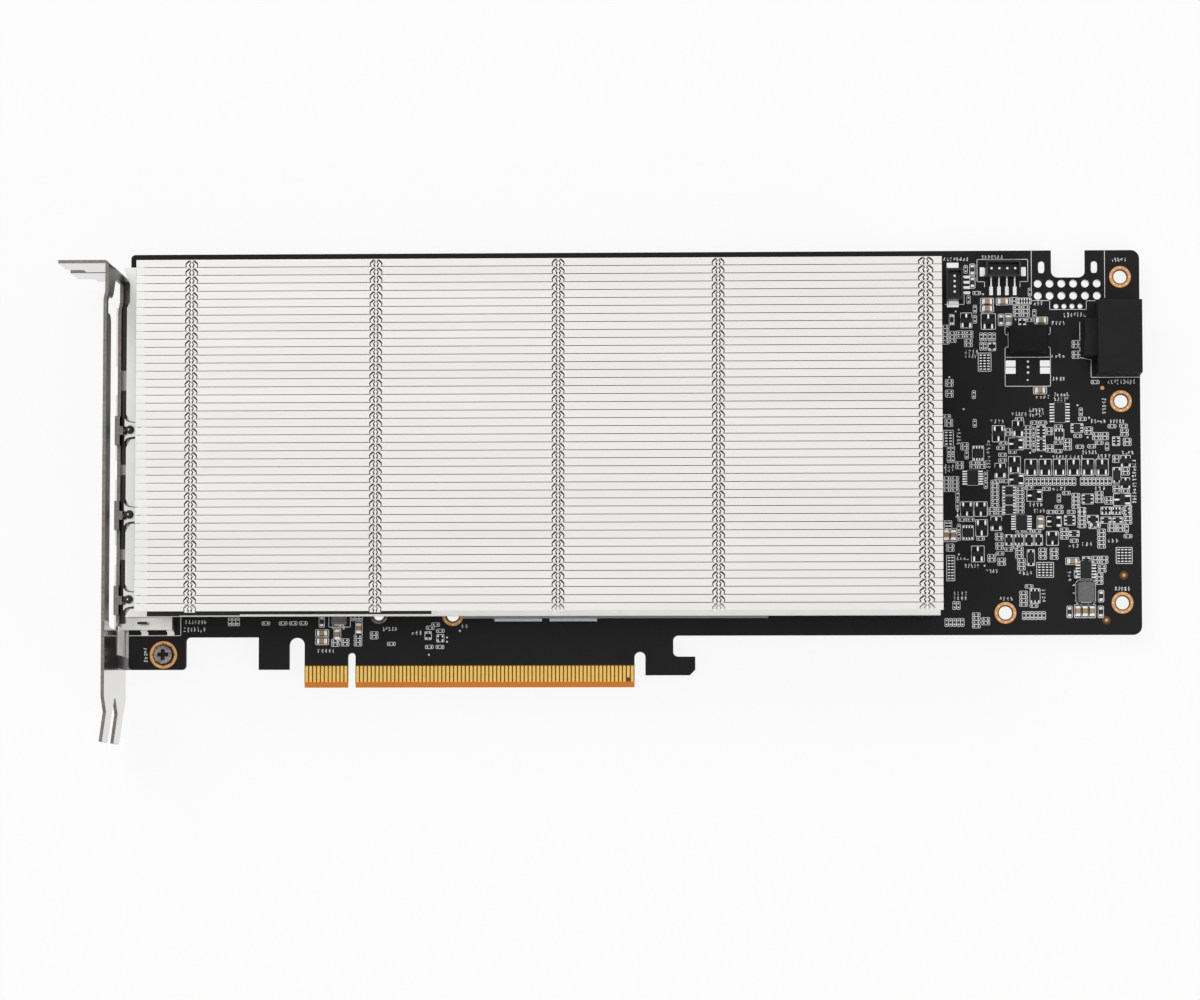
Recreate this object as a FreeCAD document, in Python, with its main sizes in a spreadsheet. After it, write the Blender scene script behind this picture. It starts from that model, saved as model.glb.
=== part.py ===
"""Passive accelerator card: a dual-slot expansion board with a folded-fin heatsink.

Frame: X runs along the card, away from the slot bracket; Y runs from the edge connector
to the top edge; Z points from the board's component face up through the heatsink.
The origin is the middle of the edge connector's key notch, at the foot of the contacts,
on the component face. Millimetres throughout.
"""
import FreeCAD, Part
import os
import re
import Sketcher

Vector = FreeCAD.Vector

# ---------------------------------------------------------------- driving dimensions

DIMENSIONS = {
    # circuit board outline
    "board_thick": 1.57,
    "board_left": -57.15,
    "board_right": 200.7,
    "board_top": 111.15,
    "long_edge": 13.1,
    "corner_round": 2.2,
    "tab_right": -42.4,
    "tab_foot": 4.57,
    "gap_top": 12.84,
    "block_left": -23.8,
    "block_right": -15.95,
    "relief_top": 12.7,
    "contact_margin": 0.2,
    "key_half": 0.96,
    "key_top": 8.8,
    "long_relief_top": 8.95,
    "long_relief_wide": 2.8,
    "hook_wide": 12.65,
    "hook_foot": 3.03,
    "hook_chamfer": 1.4,
    "hook_neck": 7.05,
    "latch_foot": 7.75,
    "latch_round": 1.3,
    "top_notch_inset": 13.8,
    "top_notch_wide": 8.6,
    "top_notch_deep": 6.95,
    "top_notch_round": 1.7,
    "bevel_rise": 1.3,
    "bevel_deep": 0.42,
    # edge contacts
    "contact_pitch": 1.0,
    "contact_wide": 0.7,
    "contact_foot": 1.35,
    "contact_top": 5.5,
    "contact_thick": 0.05,
    "contact_first": 1.5,
    "short_contacts": 11,
    "long_contacts": 71,
    "sense_contact_cut": 1.1,
    # mounting holes and their copper rings
    "mount_hole": 3.4,
    "ring_outer": 5.5,
    "ring_inner": 3.9,
    "ring_thick": 0.05,
    "mount_inset_x": 4.9,
    "mount_inset_y": 6.85,
    "mount_mid_y": 72.5,
    "mount_low_y": 21.2,
    "mount_inner_x": 166.2,
    "mount_inner_y": 18.7,
    "sink_hole_x": 25.8,
    "sink_hole_y": 18.4,
    "sink_hole_pitch": 18.9,
    "nut_outer": 4.4,
    "nut_bore": 2.6,
    "nut_proud": 0.4,
    # second power position, left empty
    "spare_first_x": 174.9,
    "spare_pitch": 3.0,
    "spare_row_y": 102.6,
    "spare_row_gap": 3.1,
    "spare_hole": 1.9,
    "spare_columns": 6,
    "sense_first_x": 179.5,
    "sense_pitch": 2.03,
    "sense_row_y": 96.8,
    "sense_hole": 1.2,
    "sense_columns": 4,
    "peg_slot_x": 175.8,
    "peg_slot_span": 13.4,
    "peg_slot_y": 106.8,
    "peg_slot_wide": 1.3,
    "peg_slot_tall": 2.8,
    # slot bracket
    "sheet": 0.86,
    "bracket_gap": 1.25,
    "bracket_low": -4.15,
    "slot_wide": 18.42,
    "slot_pitch": 20.32,
    "bracket_top": 105.62,
    "bracket_foot": -14.4,
    "flange_reach": 11.43,
    "bend_round": 1.1,
    "joggle": 0.42,
    "joggle_high": 98.0,
    "joggle_low": 95.7,
    "tine_wide": 10.2,
    "tine_taper_high": -3.2,
    "tine_taper_low": -7.0,
    "tine_lean": 1.0,
    "window_foot": 14.2,
    "window_top": 102.5,
    "window_low": 8.4,
    "window_high": 26.8,
    "window_round": 2.4,
    "window_bite": 5.0,
    "bite_foot": 92.6,
    "bite_top": 96.9,
    "web_low": 21.7,
    "screw_notch_long": 4.4,
    "screw_notch_deep": 5.6,
    "screw_notch_corner": 1.3,
    "foot_wide": 10.0,
    "foot_reach": 15.2,
    "foot_y": 9.6,
    "foot_screw_reach": 10.2,
    "foot_screw_y": 8.4,
    "upper_screw_inset": 4.82,
    "foot_hole": 3.0,
    "tab_ring_outer": 7.0,
    # spring fingers on the bracket
    "finger_rim_wide": 7.4,
    "finger_rim_rise": 1.9,
    "finger_rim_proud": 0.4,
    "finger_wide": 2.2,
    "finger_clip": 0.7,
    "finger_sheet": 0.4,
    "finger_reach": 4.0,
    "finger_low_y": 21.8,
    # display connectors
    "display_pitch": 21.6,
    "display_low_y": 22.8,
    "display_top": 6.5,
    "display_wide": 16.7,
    "display_tall": 5.4,
    "display_wall": 0.3,
    "display_proud": 0.7,
    "display_long": 14.76,
    "display_block": 4.5,
    "display_tongue_wide": 13.4,
    "display_tongue_thick": 1.7,
    "display_tongue_set_back": 2.0,
    "display_clear": 0.25,
    "display_leg": 1.1,
    "display_leg_set_back": 7.0,
    "upper_display_y": 89.2,
    "upper_display_wide": 15.0,
    "upper_display_tall": 5.7,
    # fixing screws
    "screw_shank": 2.5,
    "pan_head": 4.7,
    "pan_head_tall": 1.6,
    "recess_wide": 0.95,
    "recess_long": 2.7,
    "recess_deep": 1.0,
    # accelerator package and memory
    "chip_x": 63.6,
    "chip_y": 61.0,
    "package_size": 45.0,
    "package_thick": 2.0,
    "stiffener_wide": 4.6,
    "stiffener_thick": 0.6,
    "die_long": 25.0,
    "die_wide": 24.0,
    "memory_short": 12.0,
    "memory_long": 14.0,
    "memory_thick": 1.1,
    "memory_pitch": 14.0,
    "memory_low_y": 25.0,
    "memory_high_y": 97.0,
    "memory_right_x": 98.5,
    "pad_bulge": 1.3,
    # power stages under the heatsink
    "choke_size": 6.6,
    "choke_tall": 4.5,
    "choke_near_x": 18.5,
    "choke_far_x": 113.5,
    "choke_pitch": 8.0,
    "stage_long": 6.0,
    "stage_wide": 5.0,
    "stage_thick": 0.8,
    "bulk_long": 7.3,
    "bulk_wide": 4.3,
    "bulk_tall": 1.9,
    "row_gap": 1.6,
    # heatsink
    "cold_plate_left": 28.7,
    "cold_plate_right": 106.1,
    "cold_plate_foot": 17.3,
    "cold_plate_top": 104.6,
    "cold_plate_low": 3.0,
    "cold_plate_thick": 2.5,
    "standoff_outer": 4.4,
    "brace_half": 30.5,
    "pipe_wide": 9.4,
    "pipe_thick": 2.5,
    "pipe_pitch": 14.0,
    "pipe_left": -44.0,
    "pipe_right": 143.0,
    "pipes": 5,
    "carrier_thick": 0.8,
    "carrier_left": -56.95,
    "carrier_lip": 0.1,
    "carrier_ear": 1.1,
    "carrier_ear_out": 0.6,
    "carrier_relief": 0.8,
    "carrier_relief_long": 9.2,
    "carrier_slot_left": -41.0,
    "carrier_slot_right": 30.0,
    "carrier_rail": 0.65,
    "carrier_slot_tall": 2.2,
    "finger_notch": 4.2,
    "finger_notch_flare": 1.3,
    "finger_notch_depth": 3.9,
    "fin_left": -51.3,
    "fin_right": 149.5,
    "fin_foot": 17.8,
    "fin_pitch": 2.0,
    "fin_gap": 0.1,
    "fin_sheet": 0.3,
    "fin_top": 33.0,
    "fin_count": 44,
    "lock_half": 0.75,
    "lock_slot": 0.3,
    "lock_long": 1.15,
    # brace behind the board
    "brace_arm": 9.0,
    "brace_disc": 34.0,
    "brace_bore": 20.0,
    "brace_thick": 1.2,
    "insulator_thick": 0.3,
    "board_screw_hole": 3.2,
    "brace_head": 4.8,
    "brace_head_tall": 1.05,
    "brace_bite": 2.0,
    # power socket
    "socket_long": 11.2,
    "socket_foot": 78.9,
    "socket_wide": 18.6,
    "socket_tall": 9.6,
    "socket_heel_long": 3.1,
    "socket_heel_wide": 9.3,
    "socket_heel_tall": 7.4,
    "cell_size": 2.5,
    "cell_pitch": 3.0,
    "cell_deep": 9.0,
    "cell_low": 1.1,
    "sense_cell": 1.35,
    "sense_cell_pitch": 2.0,
    "power_pin": 0.9,
    "sense_pin": 0.5,
    "pin_set_back": 2.2,
    # small headers
    "fan_header_x": 166.05,
    "fan_header_y": 106.2,
    "fan_header_long": 8.9,
    "fan_header_wide": 4.3,
    "fan_header_tall": 4.2,
    "fan_pin_pitch": 2.0,
    "side_header_x": 153.7,
    "side_header_y": 102.4,
    "side_header_long": 8.0,
    "side_header_wide": 4.4,
    "side_header_tall": 3.4,
    "side_pin_pitch": 1.35,
    "header_wall": 0.6,
    "header_floor": 0.9,
    "header_pin": 0.5,
    # parts on the open end of the board
    "large_inductor_x": 172.3,
    "large_inductor_y": 88.1,
    "large_inductor_long": 10.3,
    "large_inductor_wide": 7.1,
    "large_inductor_tall": 4.4,
    "inductor_round": 0.5,
    "input_inductor_x": 186.5,
    "input_inductor_y": 23.8,
    "input_inductor_long": 4.5,
    "input_inductor_wide": 5.3,
    "input_inductor_tall": 3.0,
    "filter_inductor_x": -3.2,
    "filter_inductor_y": 17.9,
    "filter_inductor_size": 4.2,
    "filter_inductor_tall": 2.0,
    "capacitor_long": 2.0,
    "capacitor_wide": 1.25,
    "capacitor_tall": 1.2,
    "logic_tall": 0.9,
    "transistor_long": 1.4,
    "transistor_wide": 2.9,
    "transistor_tall": 0.9,
    "transistor_first_x": 172.9,
    "transistor_pitch": 3.6,
    "transistor_y": 55.7,
    "transistors": 6,
}

# columns where neighbouring fins lock together, along X
LOCK_COLUMNS = (-37.4, 8.75, 54.2, 94.0, 145.5)

# chip capacitors: centre X, centre Y, lying along X or Y
CAPACITORS = (
    (162.0, 98.1, "X"),
    (166.0, 98.1, "X"),
    (162.0, 96.3, "X"),
    (167.4, 93.3, "Y"),
    (175.7, 93.2, "X"),
    (175.3, 75.3, "X"),
    (175.2, 41.6, "Y"),
    (183.2, 31.8, "X"),
    (184.5, 19.1, "Y"),
    (186.3, 19.1, "Y"),
    (188.1, 19.1, "Y"),
    (151.3, 38.5, "Y"),
    (153.1, 38.5, "Y"),
    (-7.6, 13.9, "X"),
    (-7.6, 11.8, "X"),
    (-3.7, 13.5, "Y"),
    (1.8, 15.1, "Y"),
)

# logic chips: centre X, centre Y, size along X, size along Y
LOGIC_CHIPS = (
    (180.25, 69.6, 3.9, 5.2),
    (158.1, 53.1, 4.0, 4.0),
    (170.4, 41.6, 4.0, 4.0),
    (186.6, 29.6, 4.0, 4.6),
)

DISPLAY_COUNT = 3
MEMORY_PER_SIDE = 4


# ---------------------------------------------------------------- document and sheet

doc = FreeCAD.newDocument("accelerator_card")
sheet = doc.addObject("Spreadsheet::Sheet", "dims")
for row, (alias, value) in enumerate(DIMENSIONS.items(), start=1):
    sheet.set("A%d" % row, alias)
    sheet.set("B%d" % row, str(value))
    sheet.setAlias("B%d" % row, alias)
doc.recompute()

NODES = []

# lines that several pieces share, as formulas of the values above
SHORT_LEFT = "(-contact_first - (short_contacts - 1) * contact_pitch - contact_wide / 2 - contact_margin)"
LONG_RIGHT = "(contact_first + (long_contacts - 1) * contact_pitch + contact_wide / 2 + contact_margin)"
HOOK_LEFT = "(%s + long_relief_wide)" % LONG_RIGHT
HOOK_RIGHT = "(%s + hook_wide)" % HOOK_LEFT
LATCH_LEFT = "(%s + hook_neck)" % HOOK_LEFT
NOTCH_RIGHT = "(board_right - top_notch_inset)"
NOTCH_LEFT = "(board_right - top_notch_inset - top_notch_wide)"
NOTCH_FOOT = "(board_top - top_notch_deep)"
BRACKET_INNER = "(board_left - bracket_gap)"
BRACKET_OUTER = "(board_left - bracket_gap - sheet)"
BRACKET_HIGH = "(bracket_low + slot_wide + slot_pitch)"
FLANGE_TIP = "(board_left - bracket_gap - sheet - flange_reach)"
DISPLAY_FRONT = "(board_left - bracket_gap - sheet - display_proud)"
DISPLAY_BACK = "(%s + display_long)" % DISPLAY_FRONT
FINGER_TIP = "(board_left - bracket_gap + finger_reach)"
PIPE_LOW = "(cold_plate_low + cold_plate_thick)"
CARRIER_LOW = "(cold_plate_low + cold_plate_thick + pipe_thick)"
FIN_LOW = "(cold_plate_low + cold_plate_thick + pipe_thick + carrier_thick)"
CARRIER_FOOT = "(fin_foot - carrier_lip)"
CARRIER_TOP = "(fin_foot + fin_count * fin_pitch - fin_gap)"
SOCKET_LEFT = "(board_right - socket_long)"


def cells(text):
    """Turn a formula in plain names into one that reads the sheet's cells."""
    def cell(match):
        word = match.group()
        return "dims." + word if word in DIMENSIONS else word
    return re.sub(r"[a-z_]+", cell, str(text))


def value_of(text):
    """Work out a formula in plain names as a number."""
    return float(sheet.evalExpression(cells(text)))


def node(thing, name):
    """Register a finished sub-part under the name its file will have."""
    thing.Label = name
    NODES.append(thing)
    return thing


# ---------------------------------------------------------------- modelling helpers

def place(thing, corner):
    for axis, formula in zip("xyz", corner):
        thing.setExpression(".Placement.Base." + axis, cells(formula))


def block(name, size, corner):
    """A box from three size formulas and the formulas of its lowest corner."""
    box = doc.addObject("Part::Box", name)
    for side, formula in zip(("Length", "Width", "Height"), size):
        box.setExpression(side, cells(formula))
    place(box, corner)
    return box


def centred_block(name, size, centre, low):
    """A box centred on X and Y that stands on the level called low."""
    corner = ["(%s) - (%s) / 2" % (middle, side) for middle, side in zip(centre, size)]
    return block(name, size, corner + [low])


def rod(name, diameter, height, centre, low):
    """An upright cylinder."""
    cylinder = doc.addObject("Part::Cylinder", name)
    cylinder.setExpression("Radius", cells("(%s) / 2" % diameter))
    cylinder.setExpression("Height", cells(height))
    place(cylinder, list(centre) + [low])
    return cylinder


def cut(name, base, tool):
    result = doc.addObject("Part::Cut", name)
    result.Base = base
    result.Tool = tool
    return result


def fuse(name, pieces):
    result = doc.addObject("Part::MultiFuse", name)
    result.Shapes = pieces
    return result


def group(name, pieces):
    """Separate solids kept together in one node."""
    result = doc.addObject("Part::Compound", name)
    result.Links = pieces
    return node(result, name)


def plane_of(body, role):
    return [item for item in body.Origin.OriginFeatures if item.Role == role][0]


def new_body(name):
    body = doc.addObject("PartDesign::Body", name)
    body.AllowCompound = True
    return body


def sketch_on(body, role, name, offset="0"):
    sketch = body.newObject("Sketcher::SketchObject", name)
    sketch.AttachmentSupport = [(plane_of(body, role), "")]
    sketch.MapMode = "FlatFace"
    sketch.setExpression(".AttachmentOffset.Base.z", cells(offset))
    return sketch


def hold(sketch, kind, formula, *where):
    """Add a dimension that reads its value from the sheet."""
    number = sketch.addConstraint(Sketcher.Constraint(kind, *where, value_of(formula)))
    sketch.setExpression("Constraints[%d]" % number, cells(formula))


def polygon(sketch, corners):
    """A closed outline whose corners are pairs of formulas."""
    first = sketch.GeometryCount
    points = [Vector(value_of(across), value_of(up), 0) for across, up in corners]
    count = len(points)
    for start in range(count):
        line = Part.LineSegment(points[start], points[(start + 1) % count])
        sketch.addGeometry(line, False)
    for start in range(count):
        joint = Sketcher.Constraint("Coincident", first + start, 2, first + (start + 1) % count, 1)
        sketch.addConstraint(joint)
    for start, (across, up) in enumerate(corners):
        hold(sketch, "DistanceX", across, -1, 1, first + start, 1)
        hold(sketch, "DistanceY", up, -1, 1, first + start, 1)


def rectangle(sketch, low, high):
    polygon(sketch, [low, (high[0], low[1]), high, (low[0], high[1])])


def circle(sketch, diameter, centre):
    middle = Vector(value_of(centre[0]), value_of(centre[1]), 0)
    radius = "(%s) / 2" % diameter
    geometry = sketch.addGeometry(Part.Circle(middle, Vector(0, 0, 1), value_of(radius)), False)
    hold(sketch, "Radius", radius, geometry)
    hold(sketch, "DistanceX", centre[0], -1, 1, geometry, 3)
    hold(sketch, "DistanceY", centre[1], -1, 1, geometry, 3)


def pad(body, sketch, length, both_ways=False):
    feature = body.newObject("PartDesign::Pad", sketch.Name + "_pad")
    feature.Profile = sketch
    feature.setExpression("Length", cells(length))
    if both_ways:
        feature.SideType = "Symmetric"
    doc.recompute()
    return feature


def pocket(body, sketch):
    """Cut a sketch right through the body, both ways, and check that it cut."""
    before = body.Shape.Volume
    feature = body.newObject("PartDesign::Pocket", sketch.Name + "_pocket")
    feature.Profile = sketch
    feature.Type = "ThroughAll"
    feature.SideType = "Symmetric"
    doc.recompute()
    if body.Shape.Volume > before - 1e-4:
        raise RuntimeError(sketch.Name + " cut nothing")
    return feature


def repeat(body, features, axis, pitch, count, backwards=False, whole=False):
    """Repeat features of a body in a row."""
    row = body.newObject("PartDesign::LinearPattern", body.Name + "_row")
    row.Originals = features
    row.Direction = (plane_of(body, axis), [""])
    row.Reversed = backwards
    if whole:
        row.TransformMode = "Whole shape"
    row.setExpression("Length", cells("(%s) * ((%s) - 1)" % (pitch, count)))
    row.setExpression("Occurrences", cells(count))
    body.Tip = row
    doc.recompute()
    return row


def upright_edges(shape, spots):
    """Names of the edges along Z that stand on any of the given spots."""
    targets = [(value_of(across), value_of(up)) for across, up in spots]
    names = []
    for number, edge in enumerate(shape.Edges, start=1):
        start = edge.Vertexes[0].Point
        end = edge.Vertexes[-1].Point
        if abs(start.x - end.x) + abs(start.y - end.y) > 1e-5 or abs(start.z - end.z) < 1e-4:
            continue
        if any(abs(start.x - x) + abs(start.y - y) < 1e-3 for x, y in targets):
            names.append("Edge%d" % number)
    return names


def edges_along(shape, axis, spots):
    """Names of the straight edges along one axis that pass any of the given spots."""
    others = [letter for letter in "xyz" if letter != axis]
    names = []
    for number, edge in enumerate(shape.Edges, start=1):
        start = edge.Vertexes[0].Point
        end = edge.Vertexes[-1].Point
        drift = sum(abs(getattr(start, letter) - getattr(end, letter)) for letter in others)
        if drift > 1e-5 or abs(getattr(start, axis) - getattr(end, axis)) < 1e-4:
            continue
        for spot in spots:
            gaps = [abs(getattr(start, letter) - goal) for letter, goal in zip(others, spot)]
            if sum(gaps) < 1e-3:
                names.append("Edge%d" % number)
    return names


def round_edges(body, names, radius):
    if not names:
        raise RuntimeError(body.Name + " has no such edges to round")
    base = body.Tip
    feature = body.newObject("PartDesign::Fillet", body.Name + "_round")
    feature.Base = (base, names)
    feature.setExpression("Radius", cells(radius))
    body.Tip = feature
    doc.recompute()
    return feature


def round_corners(body, spots, radius):
    return round_edges(body, upright_edges(body.Tip.Shape, spots), radius)


# ---------------------------------------------------------------- circuit board

MOUNT_HOLES = (
    ("board_right - mount_inset_x", "board_top - mount_inset_y"),
    ("board_right - mount_inset_x", "mount_mid_y"),
    ("board_right - mount_inset_x", "mount_low_y"),
    ("mount_inner_x", "mount_inner_y"),
)
NUT_SPOT = ("sink_hole_x - sink_hole_pitch", "sink_hole_y")
OPEN_SPOT = ("sink_hole_x", "sink_hole_y")
FOOT_SPOTS = (
    (BRACKET_INNER + " + foot_screw_reach", "foot_screw_y"),
    (BRACKET_INNER + " + foot_screw_reach", "bracket_top - upper_screw_inset"),
)
BRACE_SPOTS = [
    ("chip_x + %d * brace_half" % side, "chip_y + %d * brace_half" % end)
    for side in (-1, 1) for end in (-1, 1)
]


def make_circuit_board():
    body = new_body("circuit_board")
    outline = sketch_on(body, "XY_Plane", "board_outline", "-board_thick")
    polygon(outline, [
        ("board_left", "tab_foot"),
        ("tab_right", "tab_foot"),
        ("tab_right", "gap_top"),
        ("block_left", "gap_top"),
        ("block_left", "tab_foot"),
        ("block_right", "tab_foot"),
        ("block_right", "relief_top"),
        (SHORT_LEFT, "relief_top"),
        (SHORT_LEFT, "0"),
        ("-key_half", "0"),
        ("-key_half", "key_top"),
        ("key_half", "key_top"),
        ("key_half", "0"),
        (LONG_RIGHT, "0"),
        (LONG_RIGHT, "long_relief_top"),
        (HOOK_LEFT, "long_relief_top"),
        (HOOK_LEFT, "hook_foot"),
        (HOOK_RIGHT + " - hook_chamfer", "hook_foot"),
        (HOOK_RIGHT, "hook_foot + hook_chamfer"),
        (HOOK_RIGHT, "latch_foot"),
        (LATCH_LEFT, "latch_foot"),
        (LATCH_LEFT, "long_edge"),
        ("board_right", "long_edge"),
        ("board_right", "board_top"),
        (NOTCH_RIGHT, "board_top"),
        (NOTCH_RIGHT, NOTCH_FOOT),
        (NOTCH_LEFT, NOTCH_FOOT),
        (NOTCH_LEFT, "board_top"),
        ("board_left", "board_top"),
    ])
    pad(body, outline, "board_thick")
    make_board_holes(body)
    bevel_contact_edge(body)
    round_corners(body, [(SHORT_LEFT, "relief_top"), ("block_right", "relief_top")],
                  "(%s - block_right) * 0.49" % SHORT_LEFT)
    round_corners(body, [("key_half", "key_top"), ("-key_half", "key_top")], "key_half * 0.98")
    round_corners(body, [(LONG_RIGHT, "long_relief_top"), (HOOK_LEFT, "long_relief_top")],
                  "long_relief_wide * 0.49")
    round_corners(body, [(LATCH_LEFT, "latch_foot"), (LATCH_LEFT, "long_edge")],
                  "latch_round")
    round_corners(body, [(NOTCH_LEFT, NOTCH_FOOT), (NOTCH_RIGHT, NOTCH_FOOT)],
                  "top_notch_round")
    round_corners(body, [("board_right", "long_edge"), ("board_right", "board_top")],
                  "corner_round")
    round_corners(body, [("board_left", "board_top"), ("board_left", "tab_foot"),
                         ("tab_right", "tab_foot"), ("tab_right", "gap_top")],
                  "corner_round / 2")
    return node(body, "circuit_board")


def make_board_holes(body):
    holes = sketch_on(body, "XY_Plane", "board_holes")
    for spot in MOUNT_HOLES:
        circle(holes, "mount_hole", spot)
    for spot in FOOT_SPOTS:
        circle(holes, "foot_hole", spot)
    for spot in BRACE_SPOTS:
        circle(holes, "board_screw_hole", spot)
    circle(holes, "board_screw_hole", OPEN_SPOT)
    circle(holes, "nut_outer", NUT_SPOT)
    for column in range(int(value_of("spare_columns"))):
        for line in range(2):
            circle(holes, "spare_hole", ("spare_first_x + %d * spare_pitch" % column,
                                         "spare_row_y - %d * spare_row_gap" % line))
    for column in range(int(value_of("sense_columns"))):
        circle(holes, "sense_hole", ("sense_first_x + %d * sense_pitch" % column, "sense_row_y"))
    for side in range(2):
        middle = "peg_slot_x + %d * peg_slot_span" % side
        rectangle(holes,
                  (middle + " - peg_slot_wide / 2", "peg_slot_y - peg_slot_tall / 2"),
                  (middle + " + peg_slot_wide / 2", "peg_slot_y + peg_slot_tall / 2"))
    pocket(body, holes)


def bevel_contact_edge(body):
    """Thin the foot of the edge connector from both faces."""
    wedge = sketch_on(body, "YZ_Plane", "contact_bevel")
    polygon(wedge, [
        ("bevel_rise", "0"),
        ("0", "-bevel_deep"),
        ("-1", "-bevel_deep"),
        ("-1", "1"),
        ("bevel_rise", "1"),
    ])
    polygon(wedge, [
        ("bevel_rise", "-board_thick"),
        ("0", "bevel_deep - board_thick"),
        ("-1", "bevel_deep - board_thick"),
        ("-1", "-board_thick - 1"),
        ("bevel_rise", "-board_thick - 1"),
    ])
    pocket(body, wedge)


def make_edge_contacts(name, low, sense_row):
    """One face's row of contacts, short and long sections."""
    body = new_body(name)
    for section, direction, count in (("short", -1, "short_contacts"),
                                      ("long", 1, "long_contacts")):
        middle = "%d * contact_first" % direction
        strip = sketch_on(body, "XY_Plane", name + "_" + section, low)
        rectangle(strip, (middle + " - contact_wide / 2", "contact_foot"),
                  (middle + " + contact_wide / 2", "contact_top"))
        first = pad(body, strip, "contact_thick")
        repeat(body, [first], "X_Axis", "contact_pitch", count, backwards=direction < 0)
    if sense_row:
        last = "contact_first + (long_contacts - 2) * contact_pitch"
        short = sketch_on(body, "XY_Plane", name + "_sense_cut")
        rectangle(short, (last + " - contact_wide", "contact_foot - 1"),
                  (last + " + contact_wide", "contact_foot + sense_contact_cut"))
        pocket(body, short)
    return node(body, name)


def make_ground_rings():
    body = new_body("ground_rings")
    rings = sketch_on(body, "XY_Plane", "ring_outlines")
    for spot in MOUNT_HOLES:
        circle(rings, "ring_outer", spot)
        circle(rings, "ring_inner", spot)
    circle(rings, "ring_outer", OPEN_SPOT)
    circle(rings, "ring_inner", OPEN_SPOT)
    circle(rings, "tab_ring_outer", FOOT_SPOTS[0])
    circle(rings, "ring_inner", FOOT_SPOTS[0])
    pad(body, rings, "ring_thick")
    return node(body, "ground_rings")


def make_clinch_nut():
    barrel = rod("nut_barrel", "nut_outer", "board_thick + nut_proud", NUT_SPOT, "-board_thick")
    bore = rod("nut_bore_tool", "nut_bore", "board_thick + nut_proud", NUT_SPOT, "-board_thick")
    return node(cut("clinch_nut_body", barrel, bore), "clinch_nut")


# ---------------------------------------------------------------- slot bracket

def display_middle(number):
    """Y of one of the display connectors, counted from the edge connector up."""
    if number < DISPLAY_COUNT:
        return "display_low_y + %d * display_pitch" % number
    return "upper_display_y"


def display_size(number):
    if number < DISPLAY_COUNT:
        return "display_wide", "display_tall"
    return "upper_display_wide", "upper_display_tall"


def make_io_bracket():
    body = new_body("io_bracket")
    profile = sketch_on(body, "XY_Plane", "bracket_profile", "bracket_low")
    polygon(profile, [
        (BRACKET_INNER + " + joggle", "bracket_top"),
        (FLANGE_TIP, "bracket_top"),
        (FLANGE_TIP, "bracket_top - sheet"),
        (BRACKET_OUTER + " + joggle", "bracket_top - sheet"),
        (BRACKET_OUTER + " + joggle", "joggle_high"),
        (BRACKET_OUTER, "joggle_low"),
        (BRACKET_OUTER, "tine_taper_low"),
        (BRACKET_OUTER + " - tine_lean", "bracket_foot"),
        (BRACKET_INNER + " - tine_lean", "bracket_foot"),
        (BRACKET_INNER, "tine_taper_low"),
        (BRACKET_INNER, "joggle_low"),
        (BRACKET_INNER + " + joggle", "joggle_high"),
    ])
    pad(body, profile, "slot_wide + slot_pitch")
    round_corners(body, [(BRACKET_INNER + " + joggle", "bracket_top")], "bend_round")
    cut_bracket_face(body)
    cut_bracket_flange(body)
    add_bracket_feet(body)
    for number in range(DISPLAY_COUNT):
        add_spring_finger(body, "finger_low_y + %d * display_pitch" % number, number)
    clip_finger_tips(body)
    return node(body, "io_bracket")


def cut_bracket_face(body):
    window = sketch_on(body, "YZ_Plane", "vent_window")
    polygon(window, [
        ("window_foot", "window_low"),
        ("window_top", "window_low"),
        ("window_top", "web_low"),
        ("bite_top", "window_high"),
        ("bite_top", "window_high + window_bite"),
        ("bite_foot", "window_high + window_bite"),
        ("bite_foot", "window_high"),
        ("window_foot", "window_high"),
    ])
    pocket(body, window)
    corners = [(value_of("window_foot"), value_of("window_high")),
               (value_of("window_foot"), value_of("window_low")),
               (value_of("bite_foot"), value_of("window_high"))]
    round_edges(body, edges_along(body.Tip.Shape, "x", corners), "window_round")
    openings = sketch_on(body, "YZ_Plane", "display_openings")
    for number in range(DISPLAY_COUNT + 1):
        wide, tall = display_size(number)
        middle = display_middle(number)
        rectangle(openings,
                  (middle + " - %s / 2 - display_clear" % wide,
                   "display_top - %s - display_clear" % tall),
                  (middle + " + %s / 2 + display_clear" % wide, "display_top + display_clear"))
    pocket(body, openings)
    tapers = sketch_on(body, "YZ_Plane", "tine_tapers")
    slot_middle = "(bracket_low + slot_wide / 2)"
    slot_edge = "(bracket_low + slot_wide)"
    polygon(tapers, [
        ("tine_taper_high", "bracket_low"),
        ("tine_taper_low", slot_middle + " - tine_wide / 2"),
        ("bracket_foot - 1", slot_middle + " - tine_wide / 2"),
        ("bracket_foot - 1", "bracket_low - 1"),
        ("tine_taper_high", "bracket_low - 1"),
    ])
    polygon(tapers, [
        ("tine_taper_high", slot_edge),
        ("tine_taper_high", "bracket_low + slot_pitch"),
        ("tine_taper_low", slot_middle + " + slot_pitch - tine_wide / 2"),
        ("bracket_foot - 1", slot_middle + " + slot_pitch - tine_wide / 2"),
        ("bracket_foot - 1", slot_middle + " + tine_wide / 2"),
        ("tine_taper_low", slot_middle + " + tine_wide / 2"),
    ])
    polygon(tapers, [
        ("tine_taper_high", BRACKET_HIGH),
        ("tine_taper_low", slot_middle + " + slot_pitch + tine_wide / 2"),
        ("bracket_foot - 1", slot_middle + " + slot_pitch + tine_wide / 2"),
        ("bracket_foot - 1", BRACKET_HIGH + " + 1"),
        ("tine_taper_high", BRACKET_HIGH + " + 1"),
    ])
    pocket(body, tapers)


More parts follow.
